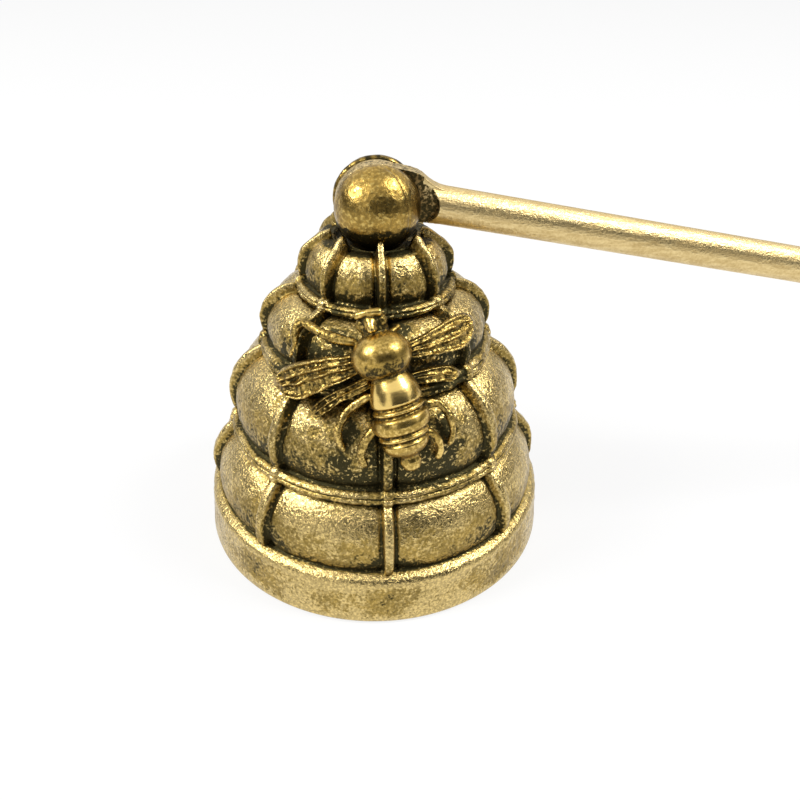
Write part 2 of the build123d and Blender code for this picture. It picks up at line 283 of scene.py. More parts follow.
def tube(points: Sequence[Point], start_radius: float, end_radius: float, count: int = 28, turns: int = 14) -> Shell:
    """A round limb along a smooth line.

    Args:
        points: The points that the limb passes through.
        start_radius: Radius at the first point.
        end_radius: Radius at the last point.
        count: Rings along the limb.
        turns: Points in a ring.

    Returns:
        The limb's closed skin.
    """
    line = soft_path(points, count)
    heading = np.gradient(line, axis=0)
    heading /= np.linalg.norm(heading, axis=1)[:, None]
    side = np.cross(heading, np.array([0.0, 0.0, 1.0]) + 0.01)
    side /= np.linalg.norm(side, axis=1)[:, None]
    lift = np.cross(side, heading)
    around = np.linspace(0.0, 2.0 * math.pi, turns, endpoint=False)
    radius = np.linspace(start_radius, end_radius, count)
    ends = np.minimum(np.arange(count), np.arange(count)[::-1])
    radius = radius * np.sqrt(np.clip((ends + 0.3) / 2.0, 0.0, 1.0))
    radius = radius * np.array([1.0 + 0.3 * noise.noise(Vector(place) * 0.9) for place in line])
    rings = (
        line[:, None, :]
        + radius[:, None, None] * np.cos(around)[None, :, None] * side[:, None, :]
        + radius[:, None, None] * np.sin(around)[None, :, None] * lift[:, None, :]
    )
    return Shell.of(rings.reshape(-1, 3), capped_faces(count, turns))


def lathe(outline: np.ndarray, turns: int, axis: Axis, closed: bool) -> Shell:
    """Turns an outline about an axis.

    Args:
        outline: Rows of radius and place along the axis.
        turns: Points round the axis.
        axis: The direction that it is turned about.
        closed: Whether the outline is a loop clear of the axis.

    Returns:
        The turned skin.
    """
    around = np.linspace(0.0, 2.0 * math.pi, turns, endpoint=False)
    across = np.outer(outline[:, 0], np.cos(around)).ravel()
    beside = np.outer(outline[:, 0], np.sin(around)).ravel()
    along = np.repeat(outline[:, 1], turns)
    order = {
        Axis.X: (along, across, beside),
        Axis.Y: (beside, along, across),
        Axis.Z: (across, beside, along),
    }[axis]
    rows = len(outline)
    faces = grid_faces(rows, turns, True, True) if closed else capped_faces(rows, turns)
    return Shell.of(np.stack(order, axis=-1), faces)


def unevenness(points: np.ndarray, scale: float) -> np.ndarray:
    """A soft random wave at each point, about -0.5 to 0.5.

    Args:
        points: The points, one row each.
        scale: How many waves go in a unit of length.

    Returns:
        One number for each point.
    """
    turn = np.array(Euler((0.7, 1.1, 0.4)).to_matrix())
    return np.array([noise.noise(Vector(place)) for place in points @ turn.T * scale + 0.37])


def read_points(mesh: bpy.types.Mesh) -> tuple[np.ndarray, np.ndarray, np.ndarray]:
    """Reads a mesh into arrays.

    Args:
        mesh: The mesh to read.

    Returns:
        Its points, its point normals and its edges.
    """
    count = len(mesh.vertices)
    points = np.empty(count * 3)
    mesh.vertices.foreach_get("co", points)
    normals = np.empty(count * 3)
    mesh.vertex_normals.foreach_get("vector", normals)
    edges = np.empty(len(mesh.edges) * 2, dtype=int)
    mesh.edges.foreach_get("vertices", edges)
    return points.reshape(-1, 3), normals.reshape(-1, 3), edges.reshape(-1, 2)


def smoothed(points: np.ndarray, edges: np.ndarray, rounds: int) -> np.ndarray:
    """Eases each point toward its neighbours.

    Args:
        points: The mesh's points.
        edges: Its edges.
        rounds: How many times the points move.

    Returns:
        The eased points.
    """
    count = len(points)
    first, second = edges[:, 0], edges[:, 1]
    links = np.maximum(np.bincount(first, minlength=count) + np.bincount(second, minlength=count), 1)
    eased = points.copy()
    for _ in range(rounds):
        total = np.empty_like(eased)
        for axis in range(3):
            total[:, axis] = np.bincount(first, weights=eased[second, axis], minlength=count)
            total[:, axis] += np.bincount(second, weights=eased[first, axis], minlength=count)
        eased = 0.5 * eased + 0.5 * total / links[:, None]
    return eased


def in_frame(points: np.ndarray, place: Matrix) -> np.ndarray:
    """Points as they lie in a piece's own frame.

    Args:
        points: The points, in metres.
        place: The frame, in millimetres.

    Returns:
        The points in that frame, in millimetres.
    """
    own = np.array(place.inverted())
    return (points / MM) @ own[:3, :3].T + own[:3, 3]


def store(piece: bpy.types.Object, name: str, values: np.ndarray) -> None:
    """Keeps one number for each point of a piece.

    Args:
        piece: The piece.
        name: The name that its finish reads.
        values: One number for each point.
    """
    layer = piece.data.attributes.new(name, "FLOAT", "POINT")
    layer.data.foreach_set("value", values.astype(np.float32))


def kept(piece: bpy.types.Object, name: str) -> np.ndarray:
    """Reads the numbers kept on a piece's points.

    Args:
        piece: The piece.
        name: The name that they are kept under.

    Returns:
        One number for each point.
    """
    values = np.empty(len(piece.data.vertices), dtype=np.float32)
    piece.data.attributes[name].data.foreach_get("value", values)
    return values


def add_to(piece: bpy.types.Object, name: str, values: np.ndarray) -> None:
    """Adds to the numbers kept on a piece's points.

    Args:
        piece: The piece.
        name: The name that they are kept under.
        values: One number for each point.
    """
    total = kept(piece, name) + values
    piece.data.attributes[name].data.foreach_set("value", total.astype(np.float32))


def store_relief_and_top_light(piece: bpy.types.Object, fine: int, broad: int, painted_top_light: float = 0.0) -> None:
    """Keeps how far each point stands above its surroundings, in millimetres, and can add painted light on faces that
    look up and painted shade on faces that look down.

    Args:
        piece: The piece.
        fine: Smoothing rounds for creases and ridges.
        broad: Smoothing rounds for larger hollows.
        painted_top_light: How much painted light goes on faces that look up, and painted shade on those that look down.
    """
    points, normals, edges = read_points(piece.data)
    near = smoothed(points, edges, fine)
    far = smoothed(near, edges, broad)
    rise = ((points - near) * normals).sum(axis=1) + 0.45 * ((points - far) * normals).sum(axis=1)
    # The last term is painted light on faces that look up and painted shade on faces that look down.
    store(piece, "relief", rise / MM + painted_top_light * (normals[:, 2] - 0.45))


def run_together(piece: bpy.types.Object, voxel: float, rounds: int) -> np.ndarray:
    """Joins a piece's skins into one and eases their edges, as a casting does.

    Args:
        piece: The piece, changed in place.
        voxel: The size of the new mesh's cells, in millimetres.
        rounds: How much the edges are eased.

    Returns:
        The new points, in metres.
    """
    melt = piece.modifiers.new("run_together", "REMESH")
    melt.mode = "VOXEL"
    melt.voxel_size = voxel * MM
    held = bpy.context.evaluated_depsgraph_get()
    mesh = bpy.data.meshes.new_from_object(piece.evaluated_get(held))
    piece.modifiers.clear()
    piece.data = mesh
    points, _, edges = read_points(mesh)
    points = smoothed(points, edges, rounds)
    mesh.vertices.foreach_set("co", points.ravel())
    mesh.update()
    mesh.shade_smooth()
    return points


def weld(piece: bpy.types.Object, other: bpy.types.Object) -> None:
    """Adds another piece's mesh to a piece, and clears the other away.

    Args:
        piece: The piece that stays.
        other: The piece that goes into it.
    """
    both = bmesh.new()
    both.from_mesh(piece.data)
    both.from_mesh(other.data)
    both.to_mesh(piece.data)
    both.free()
    bpy.data.objects.remove(other)
    piece.data.shade_smooth()


# Shared effects


class Wiring:
    """Places and links the nodes of one node tree."""

    def __init__(self, tree: bpy.types.NodeTree) -> None:
        """Keeps the tree that the nodes go into."""
        self.tree = tree

    def add(self, kind: str, values: Optional[Values] = None, **settings: object) -> bpy.types.Node:
        """Adds a node.

        Args:
            kind: Blender's name for the node.
            values: Input socket values by name or place.
            **settings: The node's own settings.

        Returns:
            The new node.
        """
        node = self.tree.nodes.new(kind)
        for name, value in settings.items():
            setattr(node, name, value)
        for name, value in (values or {}).items():
            self.feed(node.inputs[name], value)
        return node

    def feed(self, socket: bpy.types.NodeSocket, value: Feed) -> None:
        """Links an output to a socket, or sets the socket's value.

        Args:
            socket: The input socket.
            value: The output to link, or the value to set.
        """
        if isinstance(value, bpy.types.NodeSocket):
            self.tree.links.new(value, socket)
        else:
            socket.default_value = value

    def group(self, tree: bpy.types.NodeTree, values: Values) -> bpy.types.bpy_prop_collection:
        """Adds a shared node group and returns its output sockets."""
        return self.add("ShaderNodeGroup", values, node_tree=tree).outputs

    def kept(self, name: str) -> bpy.types.NodeSocket:
        """Reads a number kept on the piece's points, and returns its socket."""
        return self.add("ShaderNodeAttribute", attribute_name=name).outputs["Fac"]

    def seen(self) -> bpy.types.NodeSocket:
        """Tells the rays of the camera, and of what the metal mirrors, from the rest.

        Returns:
            A socket that is 1 for those rays and 0 for others.
        """
        path = self.add("ShaderNodeLightPath").outputs
        mirrored = self.maths("MAXIMUM", path["Is Camera Ray"], path["Is Glossy Ray"])
        return self.maths("MAXIMUM", mirrored, path["Is Transmission Ray"])

    def end(self, kind: str, surface: bpy.types.NodeSocket) -> None:
        """Adds the output node of this kind, and links the surface to it."""
        self.feed(self.add(kind).inputs["Surface"], surface)

    def maths(self, operation: str, first: Feed, second: Feed = 0.0, clamp: bool = False) -> bpy.types.NodeSocket:
        """Adds a sum and returns its result socket."""
        return self.add("ShaderNodeMath", {0: first, 1: second}, operation=operation, use_clamp=clamp).outputs[0]

    def span(
        self, value: Feed, low: float, high: float, start: float = 0.0, end: float = 1.0
    ) -> bpy.types.NodeSocket:
        """Maps one range to another, softly.

        Args:
            value: The value to map.
            low: Where the first range starts.
            high: Where it ends.
            start: What low becomes.
            end: What high becomes.

        Returns:
            The result socket.
        """
        node = self.add(
            "ShaderNodeMapRange",
            {"Value": value, "From Min": low, "From Max": high, "To Min": start, "To Max": end},
            interpolation_type="SMOOTHSTEP",
        )
        return node.outputs["Result"]

    def mix(self, share: Feed, first: Feed, second: Feed) -> bpy.types.NodeSocket:
        """Mixes two colours and returns the result socket."""
        return self.add("ShaderNodeMix", {0: share, 6: first, 7: second}, data_type="RGBA").outputs[2]

    def noise(self, place: Feed, scale: Feed, detail: float, rough: float = 0.5) -> bpy.types.NodeSocket:
        """Adds a noise pattern and returns its value socket."""
        values = {"Vector": place, "Scale": scale, "Detail": detail, "Roughness": rough}
        return self.add("ShaderNodeTexNoise", values).outputs["Fac"]


def new_group(
    name: str, inputs: dict[str, tuple[Socket, Optional[Feed]]], outputs: dict[str, Socket]
) -> tuple[bpy.types.NodeTree, Wiring, bpy.types.Node, bpy.types.Node]:
    """Makes an empty node group with named sockets.

    Args:
        name: The group's name.
        inputs: Type and starting value of each input.
        outputs: Type of each output.

    Returns:
        The group, its wiring, its input node and its output node.
    """
    group = bpy.data.node_groups.new(name, "ShaderNodeTree")
    for label, (kind, value) in inputs.items():
        socket = group.interface.new_socket(label, in_out="INPUT", socket_type=kind.value)
        if value is not None:
            socket.default_value = value
    for label, kind in outputs.items():
        group.interface.new_socket(label, in_out="OUTPUT", socket_type=kind.value)
    wiring = Wiring(group)
    return group, wiring, wiring.add("NodeGroupInput"), wiring.add("NodeGroupOutput")


def cast_grain_group() -> bpy.types.NodeTree:
    """The sandy skin of a casting: grains, and pits between them.

    Returns:
        The node group.
    """
    group, wiring, given, result = new_group(
        "cast_grain",
        {"Place": (Socket.PLACE, None), "Scale": (Socket.VALUE, 2600.0)},
        {"Grain": Socket.VALUE, "Pits": Socket.VALUE, "Blotch": Socket.VALUE},
    )
    place, scale = given.outputs["Place"], given.outputs["Scale"]
    fine = wiring.noise(place, scale, 3.0, 0.62)
    coarse = wiring.noise(place, wiring.maths("MULTIPLY", scale, 0.7), 2.0)
    grain = wiring.maths("ADD", wiring.maths("MULTIPLY", fine, 0.62), wiring.maths("MULTIPLY", coarse, 0.38))
    wiring.feed(result.inputs["Grain"], wiring.span(grain, 0.34, 0.66))
    cells = wiring.add(
        "ShaderNodeTexVoronoi",
        {"Vector": place, "Scale": wiring.maths("MULTIPLY", scale, 0.9), "Smoothness": 0.5},
        feature="SMOOTH_F1",
    )
    wiring.feed(result.inputs["Pits"], wiring.span(cells.outputs["Distance"], 0.30, 0.62))
    wiring.feed(result.inputs["Blotch"], wiring.span(wiring.noise(place, 330.0, 2.0), 0.30, 0.70))
    return group


def aged_brass_group() -> bpy.types.NodeTree:
    """Old brass: dark in creases and pits, rubbed bright on ridges, darker where painted shade is kept on the piece and
    brighter where painted highlights are kept.

    Returns:
        The node group.
    """
    group, wiring, given, result = new_group(
        "aged_brass",
        {
            "Relief": (Socket.VALUE, 0.0),
            "Grain": (Socket.VALUE, 0.5),
            "Pits": (Socket.VALUE, 0.0),
            "Blotch": (Socket.VALUE, 0.5),
            "Crease": (Socket.VALUE, 0.25),
            "Ridge": (Socket.VALUE, 0.20),
            "Speckle": (Socket.VALUE, 0.5),
            "Bright": (Socket.COLOUR, (0.7, 0.5, 0.2, 1.0)),
            "Brass": (Socket.COLOUR, (0.4, 0.27, 0.08, 1.0)),
            "Patina": (Socket.COLOUR, (0.05, 0.04, 0.02, 1.0)),
        },
        {"Colour": Socket.COLOUR, "Rubbed and painted highlight": Socket.VALUE, "Grime and painted shade": Socket.VALUE},
    )
    out = given.outputs
    spread = wiring.maths("MULTIPLY", wiring.maths("SUBTRACT", out["Grain"], 0.5), 0.20)
    rise = wiring.maths("ADD", out["Relief"], spread)
    low = wiring.maths("DIVIDE", rise, out["Crease"])
    crease = wiring.span(low, -1.0, 0.15, 1.0, 0.0)
    speck = wiring.maths("MULTIPLY", wiring.span(out["Grain"], 0.10, 0.52, 1.0, 0.0), out["Speckle"])
    pit = wiring.maths("MULTIPLY", out["Pits"], wiring.maths("MULTIPLY", out["Speckle"], 0.75))
    # Grime in creases, specks and pits; through the kept numbers the creases also take in painted shade.
    grime_and_shade = wiring.maths("MAXIMUM", crease, wiring.maths("MAXIMUM", speck, pit))
    fleck = wiring.maths("MULTIPLY", wiring.span(out["Grain"], 0.74, 0.98), out["Speckle"], clamp=True)
    grime_and_shade = wiring.maths("MULTIPLY", grime_and_shade, wiring.maths("SUBTRACT", 1.0, fleck), clamp=True)
    ridge = wiring.span(wiring.maths("DIVIDE", rise, out["Ridge"]), 0.10, 1.0)
    flake = wiring.maths("MULTIPLY", wiring.span(out["Grain"], 0.55, 0.95), out["Speckle"])
    # Wear from rubbing on ridges and bright flakes; through the kept numbers this also takes in painted highlights.
    rubbed = wiring.maths("MAXIMUM", ridge, flake, clamp=True)
    shade = wiring.span(out["Blotch"], 0.0, 1.0, 0.30, 0.0)
    base = wiring.mix(shade, out["Brass"], out["Patina"])
    base = wiring.mix(rubbed, base, out["Bright"])
    wiring.feed(result.inputs["Colour"], wiring.mix(grime_and_shade, base, out["Patina"]))
    wiring.feed(result.inputs["Rubbed and painted highlight"], rubbed)
    wiring.feed(result.inputs["Grime and painted shade"], grime_and_shade)
    return group


def satin_marks_group() -> bpy.types.NodeTree:
    """Fine rubbing marks drawn out along one direction.

    Returns:
        The node group.
    """
    group, wiring, given, result = new_group(
        "satin_marks",
        {
            "Place": (Socket.PLACE, None),
            "Scale": (Socket.VALUE, 1800.0),
            "Stretch": (Socket.PLACE, (1.0, 1.0, 1.0)),
        },
        {"Marks": Socket.VALUE},
    )
    drawn = wiring.add(
        "ShaderNodeVectorMath", {0: given.outputs["Place"], 1: given.outputs["Stretch"]}, operation="MULTIPLY"
    )
    marks = wiring.noise(drawn.outputs[0], given.outputs["Scale"], 3.0, 0.6)
    wiring.feed(result.inputs["Marks"], wiring.span(marks, 0.32, 0.68))
    return group


@dataclass
class Effects:
    """The node groups that the finishes share."""

    grain: bpy.types.NodeTree
    brass: bpy.types.NodeTree
    satin: bpy.types.NodeTree

    @classmethod
    def make(cls) -> "Effects":
        """Builds each group once."""
        return cls(cast_grain_group(), aged_brass_group(), satin_marks_group())


# Finishes


def blank_material(name: str) -> tuple[bpy.types.Material, Wiring]:
    """Makes a material without nodes.

    Args:
        name: The material's name.

    Returns:
        The material and the wiring of its node tree.
    """
    material = bpy.data.materials.new(name)
    material.use_nodes = True
    material.node_tree.nodes.clear()
    return material, Wiring(material.node_tree)


def metal_surface(wiring: Wiring, colour: Feed, rough: Feed, normal: Feed) -> None:
    """Ends a material's wiring in a metal surface.

    Args:
        wiring: The material's wiring.
        colour: The metal's colour.
        rough: How dull it is.
        normal: Its surface's direction.
    """
    values = {"Base Color": colour, "Metallic": 1.0, "Roughness": rough, "Normal": normal}
    shader = wiring.add("ShaderNodeBsdfPrincipled", values)
    wiring.end("ShaderNodeOutputMaterial", shader.outputs["BSDF"])


@dataclass(frozen=True)
class AgedBrass:
    """Cast brass with dark creases, rubbed ridges and a sandy skin, plus the painted shade and painted highlights kept
    on each piece.
    """

    name: str
    bright: Colour
    brass: Colour
    patina: Colour
    grain_scale: float = 2600.0
    speckle: float = 0.55
    crease: float = 0.25
    ridge: float = 0.20
    rough_bright: float = 0.28
    rough_dark: float = 0.62
    bump_depth: float = 0.00006
    bump_strength: float = 0.6
    grain_from_piece: bool = False
    least_grain: float = 0.12

    def make(self, effects: Effects) -> bpy.types.Material:
        """Builds the material.

        Args:
            effects: The shared node groups.

        Returns:
            The finished material.
        """
        material, wiring = blank_material(self.name)
        place = wiring.add("ShaderNodeTexCoord").outputs["Object"]
        grain = wiring.group(effects.grain, {"Place": place, "Scale": self.grain_scale})
        speckle, height = self.speckle, grain["Grain"]
        if self.grain_from_piece:
            sandy = wiring.kept("sandy")
            speckle = wiring.maths("MULTIPLY", sandy, self.speckle)
            height = wiring.maths("MULTIPLY", height, wiring.span(sandy, 0.0, 1.0, self.least_grain, 1.0))
        brass = wiring.group(
            effects.brass,
            {
                # These kept numbers hold each piece's height above its surroundings together with its painted shade and
                # painted highlights.
                "Relief": wiring.kept("relief"),
                "Grain": grain["Grain"],
                "Pits": grain["Pits"],
                "Blotch": grain["Blotch"],
                "Crease": self.crease,
                "Ridge": self.ridge,
                "Speckle": speckle,
                "Bright": (*self.bright, 1.0),
                "Brass": (*self.brass, 1.0),
                "Patina": (*self.patina, 1.0),
            },
        )
        middle = 0.5 * (self.rough_bright + self.rough_dark)
        rough = wiring.span(brass["Rubbed and painted highlight"], 0.0, 1.0, middle, self.rough_bright)
        rough = wiring.maths("MAXIMUM", rough, wiring.span(brass["Grime and painted shade"], 0.0, 1.0, 0.0, self.rough_dark))
        values = {"Height": height, "Distance": self.bump_depth, "Strength": self.bump_strength}
        bump = wiring.add("ShaderNodeBump", values)
        metal_surface(wiring, brass["Colour"], rough, bump.outputs["Normal"])
        return material


@dataclass(frozen=True)
class SatinBrass:
    """Brass drawn and rubbed to a soft sheen."""

    name: str
    bright: Colour
    dull: Colour
    stretch: Point = (1.0, 1.0, 1.0)
    scale: float = 1800.0
    grain_scale: float = 3400.0
    patina: Colour = (0.045, 0.036, 0.014)
    tarnish: Colour = (0.22, 0.145, 0.055)
    rough_low: float = 0.30
    rough_high: float = 0.46
    bump_depth: float = 0.00004
    bump_strength: float = 0.6

    def make(self, effects: Effects) -> bpy.types.Material:
        """Builds the material.

        Args:
            effects: The shared node groups.

        Returns:
            The finished material.
        """
        material, wiring = blank_material(self.name)
        place = wiring.add("ShaderNodeTexCoord").outputs["Object"]
        satin = wiring.group(effects.satin, {"Place": place, "Scale": self.scale, "Stretch": self.stretch})
        grain = wiring.group(effects.grain, {"Place": place, "Scale": self.grain_scale})["Grain"]
        marks = wiring.maths("MULTIPLY", satin["Marks"], 0.5)
        blend = wiring.maths("ADD", marks, wiring.maths("MULTIPLY", grain, 0.5))
        colour = wiring.mix(blend, (*self.dull, 1.0), (*self.bright, 1.0))
        grainy = wiring.maths("MULTIPLY", wiring.maths("SUBTRACT", grain, 0.5), 0.30)
        # Darker where grime and the painted shade kept on the tongue lie, in the patina and tarnish colours.
        grime_and_shade = wiring.span(wiring.maths("ADD", wiring.kept("relief"), grainy), -0.5, -0.12, 1.0, 0.0)
        soil_and_painted_light = wiring.mix(wiring.span(grain, 0.40, 0.85), (*self.patina, 1.0), (*self.tarnish, 1.0))
        rough = wiring.span(blend, 0.0, 1.0, self.rough_high, self.rough_low)
        height = wiring.maths("ADD", satin["Marks"], grain)
        values = {"Height": height, "Distance": self.bump_depth, "Strength": self.bump_strength}
        bump = wiring.add("ShaderNodeBump", values)
        metal_surface(wiring, wiring.mix(grime_and_shade, colour, soil_and_painted_light), rough, bump.outputs["Normal"])
        return material


def rubbed_brass(name: str) -> AgedBrass:
    """The finish of the ball and of the pin filed flush with it.

    Args:
        name: The material's name.

    Returns:
        The finish.
    """
    return AgedBrass(
        name,
        bright=(0.86, 0.64, 0.21),
        brass=(0.51, 0.325, 0.076),
        patina=(0.035, 0.028, 0.011),
        grain_scale=3000.0,
        speckle=0.45,
        crease=0.6,
        ridge=0.6,
        rough_bright=0.16,
        rough_dark=0.46,
        bump_strength=0.30,
    )


def settle(piece: bpy.types.Object, finish: bpy.types.Material, body: Body, node: str) -> None:
    """Gives a piece its finish, its body and the solid that it stands for.

    Args:
        piece: The piece.
        finish: Its material.
        body: The body that it moves with.
        node: The solid that it replaces.
    """
    piece.data.materials.clear()
    piece.data.materials.append(finish)
    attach(piece, body.value)
    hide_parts(node)
    LOG.info("piece %s rides on %s and stands for %s", piece.name, body.value, node)


# Sub-assemblies


@dataclass(frozen=True)
class Tier:
    """One row of panels: radii at foot, belly and head, and its heights."""

    foot: float
    belly: float
    head: float
    start: float
    belly_height: float
    height: float
    strap_half: float

    def arc(self, count: int) -> np.ndarray:
        """Points up the panel, on the arc through foot, belly and head.

        Args:
            count: Number of points.

        Returns:
            Rows of radius and height.
        """
        a = np.array([self.foot, self.start])
        b = np.array([self.belly, self.start + self.belly_height])
        c = np.array([self.head, self.start + self.height])
        matrix = 2.0 * np.array([b - a, c - a])
        middle = np.linalg.solve(matrix, np.array([b @ b - a @ a, c @ c - a @ a]))
        radius = float(np.linalg.norm(a - middle))
        first = math.atan2(a[1] - middle[1], a[0] - middle[0])
        last = math.atan2(c[1] - middle[1], c[0] - middle[0])
        turns = np.linspace(first, last, count)
        return middle + radius * np.stack([np.cos(turns), np.sin(turns)], axis=-1)


@dataclass
class HiveBell:
    """The cast hive with its tiers, rings, straps, hollow and crown."""

    base_radius: float = 22.0
    band_top_radius: float = 21.5
    band_height: float = 6.3
    band_ease: float = 0.35
    foot_round: float = 0.5
    rings: tuple[tuple[float, float], ...] = ((18.2, 1.9), (13.9, 2.0), (9.3, 1.3))
    ring_notch: float = 0.30
    fine_bead_setback: float = 0.2
    broad_bead_share: float = 0.58
    strap_count: int = 8
    strap_height: float = 0.85
    strap_on_ring: float = 0.30
    ring_strap_half: float = 0.6
    strap_ease_out: float = 0.16
    strap_ease_in: float = 0.24
    groove_depth: float = 0.30
    groove_offset: float = 0.26
    groove_width: float = 0.18
    pillow_drop: float = 0.22
    crease_drop: float = 0.24
    corner_drop: float = 0.32
    crown_drop: float = 0.45
    mouth_radius: float = 19.0
    mouth_depth: float = 6.0
    mouth_ease: float = 0.25
    wall: float = 2.2
    ceiling: float = 36.5
    crown_floor: float = 38.95
    crown_rim: float = 40.2
    rim_setback: float = 0.12
    rim_drop: float = 0.45
    lip_drop: float = 0.55
    dish_drop: float = 0.2
    dish_radius: float = 4.4
    recess_radius: float = 3.42
    recess_floor: float = 37.75
    hole_radius: float = 2.02
    waves: tuple[tuple[float, float], ...] = ((0.09, 0.28), (0.08, 0.9))
    fine_wave: float = 0.06
    fine_ring_wave: float = 0.11
    fine_wave_scale: float = 1.9
    true_foot: float = 0.6
    # Painted shade with some grime in the crown's dish and on the hive close to the bee.
    crown_shade_and_grime: float = -0.6
    bee_shade_and_grime: float = -0.60
    bee_shade_reach: float = 2.1
    columns_per_strap: int = 52
    tier_rows: tuple[int, ...] = (33, 38, 29, 27)
    tiers: tuple[Tier, ...] = (
        Tier(20.3, 20.5, 17.45, 6.7, 2.3, 7.9, 0.65),
        Tier(17.1, 17.5, 13.1, 16.5, 2.3, 9.1, 0.65),
        Tier(12.8, 13.0, 8.8, 27.6, 1.8, 5.8, 0.5),
        Tier(8.2, 8.3, 5.2, 34.7, 1.6, 5.5, 0.5),
    )

    @property
    def sector(self) -> float:
        """The angle from one strap to the next."""
        return 2.0 * math.pi / self.strap_count

    def from_strap(self, turns: np.ndarray) -> np.ndarray:
        """The angle of each turn from its nearest strap."""
        return (turns + 0.5 * self.sector) % self.sector - 0.5 * self.sector

    def bead(self, start: np.ndarray, crest: float, end: np.ndarray, count: int) -> np.ndarray:
        """One bead of a ring ledge.

        Args:
            start: Radius and height where the bead starts.
            crest: Radius of its crest.
            end: Radius and height where it ends.
            count: Number of points.

        Returns:
            Rows of radius and height.
        """
        share = np.linspace(0.0, 1.0, count)
        line = start + np.outer(share, end - start)
        swell = crest - 0.5 * (start[0] + end[0])
        line[:, 0] += swell * (1.0 - np.abs(2.0 * share - 1.0) ** 2.6)
        return line

    def outside(self) -> tuple[np.ndarray, np.ndarray, np.ndarray]:
        """The outer outline from the foot to the crown's rim.

        Returns:
            Rows of radius and height, each row's tier or zone, and its share up the tier.
        """
        rows, kinds, shares = [], [], []

        def put(points: np.ndarray, kind: int) -> None:
            """Adds points of one kind to the outline.

            Args:
                points: Rows of radius and height.
                kind: Their tier or zone.
            """
            rows.append(points)
            kinds.append(np.full(len(points), kind))
            shares.append(np.linspace(0.0, 1.0, len(points)))

        turn = np.linspace(-math.pi / 2, 0.0, 5)
        corner = np.array([self.base_radius - self.foot_round, self.foot_round])
        put(corner + self.foot_round * np.stack([np.cos(turn), np.sin(turn)], axis=-1), Zone.PLAIN)
        band = np.linspace(0.0, 1.0, 15)[1:]
        lean = self.base_radius - (self.base_radius - self.band_top_radius) * band
        shoulder = self.band_ease * smoothstep(0.90, 1.0, band) ** 2
        level = self.foot_round + (self.band_height - self.foot_round) * band
        put(np.stack([lean - shoulder, level], axis=-1), Zone.PLAIN)
        ledge = np.linspace(0.0, 1.0, 7)[1:-1]
        first = self.tiers[0]
        start = np.array([self.band_top_radius - self.band_ease, self.band_height])
        put(start + np.outer(ledge, np.array([first.foot, first.start]) - start), Zone.PLAIN)
        for index, tier in enumerate(self.tiers):
            put(tier.arc(self.tier_rows[index]), index)
            if index < len(self.rings):
                crest, height = self.rings[index]
                head = np.array([tier.head, tier.start + tier.height])
                above = self.tiers[index + 1]
                foot = np.array([above.foot, above.start])
                notch = np.array([crest - self.ring_notch, head[1] + self.broad_bead_share * height])
                put(self.bead(head, crest, notch, 10)[1:], Zone.RING)
                put(self.bead(notch, crest - self.fine_bead_setback, foot, 8)[1:-1], Zone.RING)
        return np.vstack(rows), np.concatenate(kinds), np.concatenate(shares)

    def inside(self) -> np.ndarray:
        """The outline from the crown's rim over the dish, down the hole and the hollow to the foot.

        Returns:
            Rows of radius and height.
        """
        rim = self.tiers[-1].head
        lip = 0.5 * (self.dish_radius + rim)
        corners = [
            (rim - self.rim_setback, self.crown_rim - self.rim_drop),
            (lip, self.crown_rim - self.lip_drop),
            (0.5 * (lip + self.dish_radius), 0.5 * (self.crown_rim + self.crown_floor) - self.dish_drop),
            (self.dish_radius, self.crown_floor),
            (self.recess_radius, self.crown_floor),
            (self.recess_radius, self.recess_floor),
            (self.hole_radius, self.recess_floor),
            (self.hole_radius, self.ceiling),
            (rim - 0.5 * self.wall, self.ceiling),
        ]
        corners += [(tier.head - self.wall, tier.start + tier.height) for tier in reversed(self.tiers[:-1])]
        corners += [
            (self.mouth_radius, self.mouth_depth),
            (self.mouth_radius, 0.5 * self.mouth_depth),
            (self.mouth_radius, self.mouth_ease),
            (self.mouth_radius + self.mouth_ease, 0.0),
            (0.5 * (self.mouth_radius + self.base_radius), 0.0),
        ]
        return np.array(corners)

    def azimuths(self) -> np.ndarray:
        """Angles round the hive, closer together at the straps.

        Returns:
            The angles of all the columns of points.
        """
        share = (np.arange(self.columns_per_strap) + 0.5) / self.columns_per_strap - 0.5
        local = share * (0.35 + 0.65 * 4.0 * share**2)
        return np.concatenate([self.sector * (strap + local) for strap in range(self.strap_count)])

